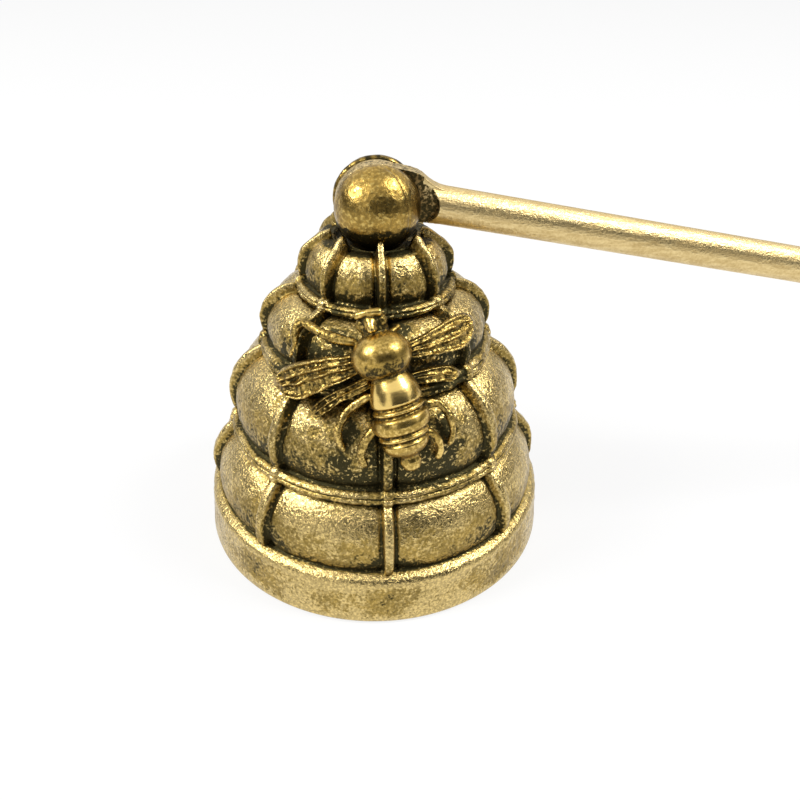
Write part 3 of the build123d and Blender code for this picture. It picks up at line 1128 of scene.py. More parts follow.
    def lift(self, kinds: np.ndarray, shares: np.ndarray, radii: np.ndarray, turns: np.ndarray) -> np.ndarray:
        """How far the skin stands off the plain outline.

        Args:
            kinds: Each row's tier or zone.
            shares: Each row's share up its tier.
            radii: Each row's radius.
            turns: The angles round the hive.

        Returns:
            One distance for each row and angle.
        """
        across = self.from_strap(turns)
        off = np.abs(across)
        lift = np.zeros((len(kinds), len(turns)))
        for row, kind in enumerate(kinds):
            if kind == Zone.PLAIN:
                continue
            along = off * radii[row]
            half = self.tiers[kind].strap_half if kind >= 0 else self.ring_strap_half
            bump = smoothstep(half + self.strap_ease_out, half - self.strap_ease_in, along)
            bump = bump * (1.0 - 0.18 * (along / half) ** 2)
            if kind == Zone.RING:
                lift[row] = self.strap_on_ring * np.clip(bump, 0.0, 1.0)
                continue
            share = shares[row]
            inward = np.clip((along - half) / (0.5 * self.sector * radii[row] - half), 0.0, 1.0)
            groove = np.exp(-(((along - half - self.groove_offset) / self.groove_width) ** 2))
            groove = groove * self.wander(turns, radii[row], share + kind + 2.4 * np.sign(across))
            ends = math.exp(-share / 0.035) + math.exp(-(1.0 - share) / 0.035)
            corner = np.exp(-inward / 0.16) * (math.exp(-(1.0 - share) / 0.16) + 0.5 * math.exp(-share / 0.14))
            panel = -self.pillow_drop * (1.0 - inward) ** 3.2 - self.crease_drop * ends - self.corner_drop * corner
            panel = panel - self.groove_depth * groove
            rise = 0.55 + 0.45 * math.sin(math.pi * min(max(share, 0.0), 1.0)) ** 0.5
            if kind == len(self.tiers) - 1:
                proud = max(rise, 1.25 * float(smoothstep(0.55, 0.95, np.array(share))))
                filed = rise * (1.0 - 0.55 * float(smoothstep(0.35, 0.75, np.array(share))))
                rise = np.where(np.abs(np.sin(turns)) < 0.38, filed, proud)
                panel = panel - self.crown_drop * math.exp(-(((1.0 - share) / 0.13) ** 2))
            bump = np.clip(bump, 0.0, 1.0)
            lift[row] = panel * (1.0 - bump) + self.strap_height * rise * bump
        return lift

    def wander(self, turns: np.ndarray, radius: float, heights: np.ndarray) -> np.ndarray:
        """An uneven strength round the hive, so that no two grooves are cut alike.

        Args:
            turns: The angles round the hive.
            radius: The row's radius.
            heights: A number that grows up the hive, and differs on the two sides of a strap.

        Returns:
            One strength for each angle, about 1.
        """
        reach = 0.22 * radius
        flat = np.stack([reach * np.cos(turns), reach * np.sin(turns), 1.7 * heights], axis=-1)
        return np.array([max(0.05, 0.80 + 1.8 * noise.noise(Vector(place))) for place in flat])

    def build(self) -> bpy.types.Object:
        """Makes the hive's skin.

        Returns:
            The hive's piece, with its relief stored.
        """
        outline, kinds, shares = self.outside()
        turns = self.azimuths()
        heading = np.gradient(outline, axis=0)
        heading /= np.linalg.norm(heading, axis=1)[:, None]
        outward = np.stack([heading[:, 1], -heading[:, 0]], axis=-1)
        lift = self.lift(kinds, shares, outline[:, 0], turns)
        radius = outline[:, 0][:, None] + outward[:, 0][:, None] * lift
        height = outline[:, 1][:, None] + outward[:, 1][:, None] * lift
        inner = self.inside()
        radius = np.vstack([radius, np.repeat(inner[:, 0][:, None], len(turns), axis=1)])
        height = np.vstack([height, np.repeat(inner[:, 1][:, None], len(turns), axis=1)])
        points = np.stack([radius * np.cos(turns), radius * np.sin(turns), height], axis=-1).reshape(-1, 3)
        kinds, shares = np.repeat(kinds, len(turns)), np.repeat(shares, len(turns))
        self.uneven(points, kinds)
        faces = grid_faces(len(outline) + len(inner), len(turns), True, True)
        piece = Shell.of(points, faces).piece("hive_skin")
        # The hive gets painted light on faces that look up and painted shade on faces that look down.
        store_relief_and_top_light(piece, 12, 60, 0.20)
        self.paint_panel_light_and_tone(piece, points, kinds, shares)
        self.paint_crown_shade_and_grime(piece)
        return piece

    def paint_panel_light_and_tone(self, piece: bpy.types.Object, points: np.ndarray, kinds: np.ndarray, shares: np.ndarray) -> None:
        """Paints shade on the panels' feet and light on their heads, paints the band lighter as a painted reflection of
        the pale floor, and adds patches of random tone, a little darker on the rings.

        Args:
            piece: The hive's piece, with its relief stored.
            points: Its points, the outside ones first, in millimetres.
            kinds: Each outside point's tier or zone.
            shares: Each outside point's share up its tier.
        """
        outer = len(kinds)
        painted_light_and_ring_tone = np.zeros(len(points))
        # Painted shade toward each panel's foot and a little painted light at its head.
        painted_light_and_ring_tone[:outer] = (kinds >= 0) * (0.05 - 0.19 * smoothstep(0.75, 0.10, shares))
        painted_light_and_ring_tone[:outer] += (kinds == Zone.RING) * (0.30 * unevenness(points[:outer], 0.45) - 0.10)
        # The band at the foot gets painted light, a painted reflection of the pale floor.
        band = smoothstep(self.band_height + 0.2, self.band_height - 0.4, points[:, 2])
        add_to(piece, "relief", painted_light_and_ring_tone + 0.04 + 0.16 * unevenness(points, 0.21) + 0.04 * band)

    def uneven(self, points: np.ndarray, kinds: np.ndarray) -> None:
        """Gives the outside the soft unevenness of a sand casting, roughest on the rings.

        Args:
            points: The skin's points, the outside ones first, changed in place.
            kinds: Each outside point's tier or zone.
        """
        for index, kind in enumerate(kinds):
            x, y, z = points[index]
            if z < self.true_foot:
                continue
            place = Vector((x, y, z))
            wave = sum(height * noise.noise(place * scale) for height, scale in self.waves)
            fine = self.fine_ring_wave if kind == Zone.RING else self.fine_wave
            wave += fine * noise.noise(place * self.fine_wave_scale)
            reach = math.hypot(x, y)
            points[index, 0] += x / reach * wave
            points[index, 1] += y / reach * wave

    def paint_crown_shade_and_grime(self, piece: bpy.types.Object) -> None:
        """Paints shade, with some grime, into the dish round the ball, up to the heads of the straps.

        Args:
            piece: The hive's piece, with its relief stored.
        """
        points, _, _ = read_points(piece.data)
        points /= MM
        reach = np.hypot(points[:, 0], points[:, 1])
        off = np.abs(self.from_strap(np.arctan2(points[:, 1], points[:, 0]))) * reach
        between = smoothstep(0.45, 0.75, off)
        high = smoothstep(self.crown_rim - 1.1, self.crown_rim - 0.3, points[:, 2]) * between
        dish = (reach < self.tiers[-1].head + 0.1) & (points[:, 2] > self.recess_floor) & (off > 0.45)
        shaded_and_grimy = np.maximum(high, dish)
        # Painted shade with some grime, under the ball and between the strap heads.
        add_to(piece, "relief", shaded_and_grimy * (self.crown_shade_and_grime - kept(piece, "relief")))

    def darken_near(self, hive: bpy.types.Object, neighbour: bpy.types.Object) -> None:
        """Paints shade, with some grime, on the hive close to another piece, and makes its grain stronger there.

        Args:
            hive: The hive's piece.
            neighbour: The piece that it gathers round.
        """
        tree = kdtree.KDTree(len(neighbour.data.vertices))
        for index, vertex in enumerate(neighbour.data.vertices):
            tree.insert(vertex.co, index)
        tree.balance()
        points, _, _ = read_points(hive.data)
        gaps = np.array([tree.find(point)[2] for point in points]) / MM
        patchy = np.clip(0.70 + 1.3 * unevenness(points / MM, 0.7), 0.15, 1.3)
        # Painted shade with some grime where the other piece comes close.
        add_to(hive, "relief", self.bee_shade_and_grime * patchy * np.exp(-((gaps / self.bee_shade_reach) ** 2)))
        store(hive, "sandy", 0.85 + 0.75 * np.exp(-((gaps / (2.0 * self.bee_shade_reach)) ** 2)))

    def dress(self, effects: Effects) -> bpy.types.Object:
        """Builds the hive and gives it its finish.

        Args:
            effects: The shared node groups.

        Returns:
            The hive's piece.
        """
        finish = AgedBrass(
            "cast_hive_brass",
            bright=(0.79, 0.59, 0.235),
            brass=(0.535, 0.365, 0.094),
            patina=(0.055, 0.047, 0.019),
            grain_scale=3200.0,
            crease=0.17,
            ridge=0.22,
            rough_bright=0.19,
            rough_dark=0.5,
            bump_depth=0.00006,
            bump_strength=0.75,
            grain_from_piece=True,
        )
        piece = self.build()
        settle(piece, finish.make(effects), Body.BELL, "hive_bell")
        return piece


@dataclass(frozen=True)
class Wing:
    """One wing between its leading and trailing edges, from root to tip in the bee's own frame."""

    leading: tuple[Point, ...]
    trailing: tuple[Point, ...]
    veins: tuple[float, ...]
    thickness: float = 0.9
    vein_width: float = 0.06
    vein_height: float = 0.52
    rim_width: float = 0.08
    wrinkle: float = 0.24
    fine_wrinkle: float = 0.14

    def skin(self, lengthwise: int = 70, across: int = 44) -> Shell:
        """Makes the wing as a thick leaf with raised veins.

        Args:
            lengthwise: Points from root to tip.
            across: Points from edge to edge.

        Returns:
            The wing's closed skin.
        """
        front = soft_path(self.leading, lengthwise)
        back = soft_path(self.trailing, lengthwise)
        share = np.linspace(0.0, 1.0, across)
        sheet = front[:, None, :] * (1.0 - share)[None, :, None] + back[:, None, :] * share[None, :, None]
        ridges = np.zeros(across)
        for vein in self.veins:
            ridges = np.maximum(ridges, np.exp(-(((share - vein) / self.vein_width) ** 2)))
        rim = np.sqrt(np.clip(np.minimum(share, 1.0 - share) / self.rim_width, 0.0, 1.0))
        tip = np.sqrt(np.clip(np.minimum(np.linspace(0, 12, lengthwise), np.linspace(12, 0, lengthwise)), 0.0, 1.0))
        body = 0.5 * self.thickness * np.outer(tip, 0.35 + 0.65 * rim)
        top = sheet.copy()
        rough = unevenness(sheet.reshape(-1, 3), 0.75).reshape(lengthwise, across)
        fine = unevenness(sheet.reshape(-1, 3), 1.7).reshape(lengthwise, across)
        veins = self.vein_height * np.outer(tip, ridges) * (1.0 + 0.9 * rough)
        top[:, :, 2] += body + veins + self.wrinkle * rough + self.fine_wrinkle * fine
        low = sheet.copy()
        low[:, :, 2] -= body
        count = lengthwise * across
        points = np.vstack([top.reshape(-1, 3), low.reshape(-1, 3)])
        faces = grid_faces(lengthwise, across, False, False)
        faces += [tuple(reversed(face)) for face in grid_faces(lengthwise, across, False, False, count)]
        edge = list(range(across))
        edge += [row * across + across - 1 for row in range(1, lengthwise)]
        edge += [(lengthwise - 1) * across + column for column in range(across - 2, -1, -1)]
        edge += [row * across for row in range(lengthwise - 2, 0, -1)]
        for first, second in zip(edge, edge[1:] + edge[:1]):
            faces.append((second, first, first + count, second + count))
        return Shell.of(points, faces)


@dataclass(frozen=True)
class Limb:
    """One leg or other round bar of the bee: the line that it follows and its radius at either end."""

    path: tuple[Point, ...]
    start_radius: float
    end_radius: float


@dataclass
class Bee:
    """The bee on the front of the hive, in its own frame: x right, y toward the head, z outward."""

    thorax: Point = (-1.09, -14.19, 32.2)
    tail_point: Point = (2.1, -18.74, 21.1)
    voxel: float = 0.12
    lobes: tuple[tuple[Point, Point, float], ...] = (
        ((0.5, 3.35, 0.0), (0.95, 1.25, 1.25), 2.4),
        ((-0.55, 3.45, -0.1), (0.62, 0.80, 0.75), 2.0),
        ((1.55, 3.45, -0.1), (0.62, 0.80, 0.75), 2.0),
        ((0.55, -0.15, 0.1), (3.2, 2.65, 3.1), 2.0),
    )
    abdomen: tuple[tuple[float, float], ...] = (
        (-1.6, 1.65),
        (-2.3, 1.90),
        (-2.8, 2.15),
        (-3.6, 2.50),
        (-4.5, 2.74),
        (-5.2, 2.84),
        (-5.5, 2.20),
        (-5.75, 2.80),
        (-6.05, 2.92),
        (-6.32, 2.28),
        (-6.6, 2.96),
        (-7.4, 3.16),
        (-8.2, 3.00),
        (-8.5, 2.26),
        (-8.75, 2.80),
        (-9.0, 2.84),
        (-9.3, 2.10),
        (-9.6, 2.60),
        (-10.2, 2.50),
        (-10.8, 2.05),
        (-11.2, 1.35),
        (-11.5, 1.05),
        (-12.1, 1.22),
        (-12.9, 0.95),
        (-13.35, 0.10),
    )
    abdomen_depth_share: float = 1.02
    bend: tuple[tuple[float, ...], tuple[float, ...]] = ((-12.5, -10.0, -7.4, -4.0), (0.32, 0.38, 0.65, 0.80))
    sag: tuple[tuple[float, ...], tuple[float, ...]] = ((-12.5, -8.0, -4.0), (-0.35, 0.1, 0.2))
    limbs: tuple[Limb, ...] = (
        # Left front leg
        Limb(
            (
                (-1.6, 1.6, -1.0), (-3.4, 2.4, -1.2), (-5.2, 3.5, -1.9), (-7.1, 4.9, -3.2),
                (-8.2, 4.4, -3.4), (-8.8, 2.8, -3.6), (-10.0, 1.5, -4.6),
            ),
            0.56,
            0.44,
        ),
        # Left middle leg
        Limb(
            (
                (-1.6, -4.0, -0.8), (-4.3, -4.9, -0.8), (-5.6, -5.9, -0.4), (-6.5, -7.4, -0.2),
                (-6.4, -9.4, -0.5),
            ),
            0.6,
            0.42,
        ),
        # Left hind leg
        Limb(
            (
                (-1.0, -6.8, -0.4), (-2.7, -7.8, 0.2), (-3.9, -8.8, 0.2), (-4.7, -10.2, -0.1),
                (-4.7, -11.8, -0.8),
            ),
            0.6,
            0.42,
        ),
        # Right middle leg
        Limb(
            (
                (1.8, -5.8, -1.2), (3.3, -6.8, -2.1), (4.6, -7.3, -2.9), (5.4, -9.0, -3.0),
                (5.3, -10.9, -3.1), (4.4, -12.4, -3.3),
            ),
            0.6,
            0.42,
        ),
        # Right hind leg
        Limb(
            (
                (1.4, -8.6, -0.6), (2.6, -9.4, -1.0), (3.5, -10.5, -1.6), (3.6, -12.1, -2.2),
                (2.8, -13.4, -2.8),
            ),
            0.56,
            0.4,
        ),
        # Right front leg, at its root
        Limb(
            (
                (1.4, 1.4, -1.8), (2.2, 1.7, -2.6), (2.8, 1.9, -3.4),
            ),
            0.44,
            0.34,
        ),
        # Neck
        Limb(
            (
                (0.5, 3.7, 0.9), (0.5, 3.2, 1.15), (0.5, 2.6, 1.3),
            ),
            0.42,
            0.46,
        ),
        # Feelers
        Limb(
            (
                (-1.0, 4.5, 0.5), (0.5, 4.65, 0.85), (2.0, 4.3, 0.5),
            ),
            0.42,
            0.42,
        ),
        # Core of the body
        Limb(
            (
                (0.5, 3.4, -0.5), (0.6, 0.0, -0.6), (0.75, -4.0, -0.5),
            ),
            1.4,
            1.5,
        ),
        # Foot under the body
        Limb(
            (
                (0.5, 0.4, -1.9), (0.7, -4.0, -2.2), (0.4, -9.6, -1.9),
            ),
            2.2,
            2.0,
        ),
    )
    wings: tuple[Wing, ...] = (
        # Left front wing
        Wing(
            (
                (-1.2, 0.8, -0.2), (-3.2, 0.8, -0.4), (-5.5, 1.1, -0.9), (-7.8, 1.2, -1.9),
                (-9.9, 1.0, -3.0), (-11.4, 0.5, -3.8), (-12.7, -0.7, -4.6),
            ),
            (
                (-1.2, -1.2, -0.4), (-3.5, -1.7, -0.7), (-5.2, -2.0, -0.8), (-7.4, -2.5, -1.3),
                (-9.4, -2.8, -2.1), (-11.1, -2.3, -2.9), (-12.6, -1.0, -4.4),
            ),
            (0.05, 0.3, 0.52, 0.94),
        ),
        # Left hind wing
        Wing(
            (
                (-1.4, -2.0, -0.6), (-3.5, -2.3, -0.8), (-5.1, -2.6, -1.0), (-6.9, -3.1, -1.5),
                (-8.4, -3.8, -1.6), (-9.1, -4.4, -1.5),
            ),
            (
                (-1.4, -3.2, -0.8), (-3.9, -3.8, -1.0), (-5.1, -4.0, -1.2), (-6.6, -4.5, -1.2),
                (-7.8, -4.9, -1.1), (-8.9, -4.8, -1.3),
            ),
            (0.05, 0.5, 0.95),
        ),
        # Right front wing
        Wing(
            (
                (1.4, 0.6, -0.8), (3.1, 0.4, -1.2), (4.7, 0.5, -2.0), (6.5, 0.8, -3.3),
                (8.1, 1.1, -4.9), (9.6, 1.0, -6.5), (10.5, 0.1, -7.2),
            ),
            (
                (1.4, -0.8, -0.8), (2.8, -1.2, -1.1), (4.8, -1.7, -2.1), (6.8, -2.2, -3.5),
                (8.6, -2.5, -5.2), (9.8, -2.0, -6.5), (10.5, -0.5, -7.2),
            ),
            (0.05, 0.26, 0.58, 0.94),
        ),
        # Right hind wing
        Wing(
            (
                (1.4, -2.4, -1.1), (2.5, -2.9, -1.6), (4.3, -3.1, -2.5), (5.8, -3.4, -3.5),
                (7.0, -4.0, -4.6), (7.7, -4.9, -4.9),
            ),
            (
                (1.4, -3.6, -1.1), (2.4, -4.2, -1.7), (4.0, -4.6, -2.3), (5.5, -5.1, -3.3),
                (6.7, -5.5, -4.2), (7.6, -5.3, -4.9),
            ),
            (0.05, 0.5, 0.95),
        ),
    )

    def turned_abdomen(self) -> Shell:
        """The ringed abdomen and tail, turned about the bee's bent middle line.

        Returns:
            The abdomen's closed skin.
        """
        table = np.array(self.abdomen)
        along = np.linspace(table[0, 0], table[-1, 0], 150)
        reach = np.interp(along, table[::-1, 0], table[::-1, 1])
        reach = np.convolve(np.pad(reach, 2, mode="edge"), np.array([0.1, 0.2, 0.4, 0.2, 0.1]), mode="valid")
        middle = np.interp(along, *self.bend)
        depth = np.interp(along, *self.sag)
        turns = np.linspace(0.0, 2.0 * math.pi, 64, endpoint=False)
        points = np.stack(
            [
                middle[:, None] + np.outer(reach, np.cos(turns)),
                np.repeat(along[:, None], len(turns), axis=1),
                depth[:, None] + self.abdomen_depth_share * np.outer(reach, np.sin(turns)),
            ],
            axis=-1,
        ).reshape(-1, 3)
        return Shell.of(points, capped_faces(len(along), len(turns), flip=True))

    def place(self) -> Matrix:
        """The bee's own frame on the hive, in millimetres.

        Returns:
            The matrix from the bee's frame to the hive's.
        """
        origin = Vector(self.thorax)
        headward = (origin - Vector(self.tail_point)).normalized()
        outward = Vector((origin.x, origin.y, 0.0)).normalized()
        right = headward.cross(outward).normalized()
        out = right.cross(headward)
        matrix = Matrix((right, headward, out)).transposed().to_4x4()
        matrix.translation = origin
        return matrix

    def build(self) -> bpy.types.Object:
        """Makes the bee as one run-together casting.

        Returns:
            The bee's piece, with relief and sandiness stored.
        """
        whole = Shell()
        for centre, radii, power in self.lobes:
            whole.join(ellipsoid(centre, radii, power))
        whole.join(self.turned_abdomen())
        for limb in self.limbs:
            whole.join(tube(limb.path, limb.start_radius, limb.end_radius))
        for wing in self.wings:
            whole.join(wing.skin())
        piece = whole.piece("bee_skin", self.place())
        points = run_together(piece, self.voxel, 3)
        store_relief_and_top_light(piece, 10, 60)
        self.soil_and_painted_light(piece, in_frame(points, self.place()))
        return piece

    def soil_and_painted_light(self, piece: bpy.types.Object, local: np.ndarray) -> None:
        """Keeps wings, legs and head sandy, paints shade on the head, on the parts low toward the hive and in a band
        across the thorax, and paints a highlight on the abdomen's first ring.

        Args:
            piece: The bee's piece, with its relief stored.
            local: Its points in the bee's own frame, in millimetres.
        """
        side = smoothstep(2.9, 4.0, np.abs(local[:, 0] - 0.5))
        head = smoothstep(2.3, 2.8, local[:, 1]) * smoothstep(1.15, 0.75, local[:, 2])
        low = smoothstep(-0.2, -1.2, local[:, 2]) * (1.0 - side) * (local[:, 1] > -11.0)
        store(piece, "sandy", np.maximum(1.15 * side, 0.6 * head))
        across = smoothstep(2.6, 1.8, np.abs(local[:, 0] - 0.7)) * smoothstep(0.4, 1.2, local[:, 2])
        painted_shield_highlight = across * smoothstep(-2.5, -2.9, local[:, 1]) * smoothstep(-5.3, -4.9, local[:, 1])
        painted_thorax_shade = across * np.exp(-(((local[:, 1] + 1.25) / 0.75) ** 2))
        # Painted highlight on the abdomen's first ring, and painted shade on the head, low toward the hive and across
        # the thorax.
        add_to(piece, "relief", 0.25 * painted_shield_highlight - 0.12 * head - 0.14 * low - 0.16 * painted_thorax_shade)

    def dress(self, effects: Effects) -> bpy.types.Object:
        """Builds the bee and gives it its finish.

        Args:
            effects: The shared node groups.

        Returns:
            The bee's piece.
        """
        finish = AgedBrass(
            "polished_bee_brass",
            bright=(0.87, 0.62, 0.20),
            brass=(0.53, 0.352, 0.085),
            patina=(0.05, 0.038, 0.014),
            speckle=0.55,
            crease=0.14,
            ridge=0.20,
            rough_bright=0.22,
            rough_dark=0.40,
            grain_scale=3200.0,
            grain_from_piece=True,
        )
        piece = self.build()
        settle(piece, finish.make(effects), Body.BELL, "bee")
        return piece


@dataclass
class BallKnob:
    """The split ball on the crown: two half balls, a neck, a base disc and a peened shank."""

    radius: float = 4.8
    slot_half: float = 1.12
    rim_round: float = 0.45
    rim_slack: float = 0.02
    bore_radius: float = 1.12
    hinge_height: float = 43.35
    floor: float = 38.95
    ear_overlap: float = 0.05
    neck_radius: float = 3.0
    neck_top: float = 40.9
    neck_ring: float = 0.5
    neck_overlap: float = 0.02
    base_radius: float = 3.4
    base_ease: float = 0.1
    base_bottom: float = 37.75
    shank_radius: float = 2.0
    ceiling: float = 36.5
    head_radius: float = 3.2
    head_bottom: float = 35.6
    head_steps: tuple[tuple[float, float], ...] = ((0.0, 0.45), (0.18, 0.75))
    head_flat: float = 0.6
    seam_degrees: float = 42.0
    seam_depth: float = 0.07
    seam_width: float = 0.13
    dents: tuple[tuple[float, float], ...] = ((0.10, 0.33), (0.05, 0.8), (0.02, 2.1))
    # Painted shade round the foot with some grime, in the slot, on the rear ear and on its cap.
    foot_shade_and_grime: float = -0.9
    painted_slot_shade: float = -1.2
    painted_rear_shade: float = -0.40
    painted_cap_shade: float = -0.30
    cap_height: float = 0.8
    axis_gap: float = 0.05

    def ear(self, side: Side) -> Shell:
        """One half ball with its rim eased and its pin hole open.

        Args:
            side: Which half of the ball it is.

        Returns:
            The ear's closed skin.
        """
        ease = self.rim_round
        outline = [(self.bore_radius, 0.0)]
        outline += [(reach, 0.0) for reach in np.linspace(self.bore_radius, self.radius - ease, 7)[1:]]
        for turn in np.linspace(-math.pi / 2, 0.0, 7)[1:]:
            reach = self.radius - ease + ease * math.cos(turn) - self.rim_slack
            outline.append((reach, ease + ease * math.sin(turn)))
        last = math.acos(self.bore_radius / self.radius)
        for turn in np.linspace(math.asin(ease / self.radius) + 0.05, last, 72):
            outline.append((self.radius * math.cos(turn), self.radius * math.sin(turn)))
        skin = lathe(np.array(outline), 224, Axis.Y, True)
        points = skin.points[0]
        points[:, 1] *= side.value
        self.worn(points)
        points[:, 1] += side.value * self.slot_half
        points[:, 2] = np.maximum(points[:, 2] + self.hinge_height, self.floor - self.ear_overlap)
        if side is Side.FRONT:
            skin.faces = [tuple(reversed(face)) for face in skin.faces]
        return skin

    def worn(self, points: np.ndarray) -> None:
        """Gives an ear its shallow dents and the parting line of its mould.

        Args:
            points: The ear's points about the ball's middle, changed in place.
        """
        seam = math.radians(self.seam_degrees)
        for index, (x, y, z) in enumerate(points):
            depth = float(smoothstep(0.3, 1.0, np.array(abs(y))))
            depth *= float(smoothstep(1.2, 1.8, np.array(math.hypot(x, z))))
            place = Vector((x, y, z))
            wave = sum(height * noise.noise(place * scale) for height, scale in self.dents)
            across = x * math.cos(seam) + y * math.sin(seam)
            if x * math.sin(seam) - y * math.cos(seam) > 0.0:
                wave -= self.seam_depth * math.exp(-((across / self.seam_width) ** 2))
            points[index] *= 1.0 + depth * wave / self.radius

    def neck(self, side: Side) -> Shell:
        """One half of the slotted neck under an ear.

        Args:
            side: Which half of the ball it is under.

        Returns:
            The half neck's closed skin.
        """
        first = math.asin(self.slot_half / self.neck_radius)
        turns = np.linspace(first, math.pi - first, 40)
        ring = self.neck_radius * np.stack([np.cos(turns), side.value * np.sin(turns)], axis=-1)
        levels = [self.floor - self.neck_overlap, self.floor + self.neck_ring, self.neck_top]
        points = np.vstack([np.column_stack([ring, np.full(len(ring), level)]) for level in levels])
        faces = capped_faces(len(levels), len(ring))
        if side is Side.FRONT:
            faces = [tuple(reversed(face)) for face in faces]
        return Shell.of(points, faces)

    def stem(self) -> Shell:
        """The base disc, the shank and its peened head under the ceiling.

        Returns:
            The stem's closed skin.
        """
        outline = [
            (self.axis_gap, self.floor),
            (self.base_radius - self.base_ease, self.floor),
            (self.base_radius, self.floor - self.base_ease),
            (self.base_radius, self.base_bottom),
            (self.shank_radius, self.base_bottom),
            (self.shank_radius, self.ceiling),
            (self.head_radius, self.ceiling),
            *((self.head_radius - inward, self.ceiling - down) for inward, down in self.head_steps),
            (self.head_radius - self.head_flat, self.head_bottom),
            (self.axis_gap, self.head_bottom),
        ]
        return lathe(np.array(outline[::-1]), 64, Axis.Z, False)

    def build(self) -> bpy.types.Object:
        """Makes the knob's skin.

        Returns:
            The knob's piece, with its relief stored.
        """
        whole = Shell()
        for part in (self.ear, self.neck):
            for side in Side:
                whole.join(part(side))
        whole.join(self.stem())
        piece = whole.piece("ball_skin")
        piece.data.set_sharp_from_angle(angle=math.radians(40.0))
        store_relief_and_top_light(piece, 6, 20)
        self.soil_and_painted_light(piece)
        return piece

    def soil_and_painted_light(self, piece: bpy.types.Object) -> None:
        """Paints shade in the slot and on the rear ear's cap, paints shade with some grime round the foot, and keeps
        the pin's place clean.

        Args:
            piece: The knob's piece, with its relief stored.
        """
        points, _, _ = read_points(piece.data)
        points /= MM
        x, y, z = points.T
        ragged = np.array([0.5 * noise.noise(Vector(point) * 1.1) for point in points])
        low = smoothstep(self.floor + 3.5, self.floor + 2.5, z + ragged)
        bore = (np.hypot(x, z - self.hinge_height) < self.bore_radius + 0.7) & (np.abs(y) > 4.0)
        add_to(piece, "relief", -kept(piece, "relief") * bore)
        inner = (np.abs(np.abs(y) - self.slot_half) < 0.1) & (z > self.floor)
        rear = smoothstep(self.slot_half + 1.6, self.slot_half + 0.3, y) * (y > 0.0)
        # Painted shade inside the slot and on the rear ear.
        add_to(piece, "relief", self.painted_slot_shade * inner + self.painted_rear_shade * rear)
        cap = (y > 0.0) & (y < self.slot_half + self.cap_height)
        # Painted shade, patchy, on the rear ear's cap.
        patchy_cap_shade = 0.5 * unevenness(points, 1.3) + self.painted_cap_shade
        add_to(piece, "relief", cap * (patchy_cap_shade - kept(piece, "relief")))
        # Painted shade with some grime round the ball's foot.
        add_to(piece, "relief", low * (self.foot_shade_and_grime - kept(piece, "relief")))

    def dress(self, effects: Effects) -> None:
        """Builds the knob and gives it its finish."""
        finish = rubbed_brass("rubbed_ball_brass").make(effects)
        settle(self.build(), finish, Body.BELL, "ball_knob")


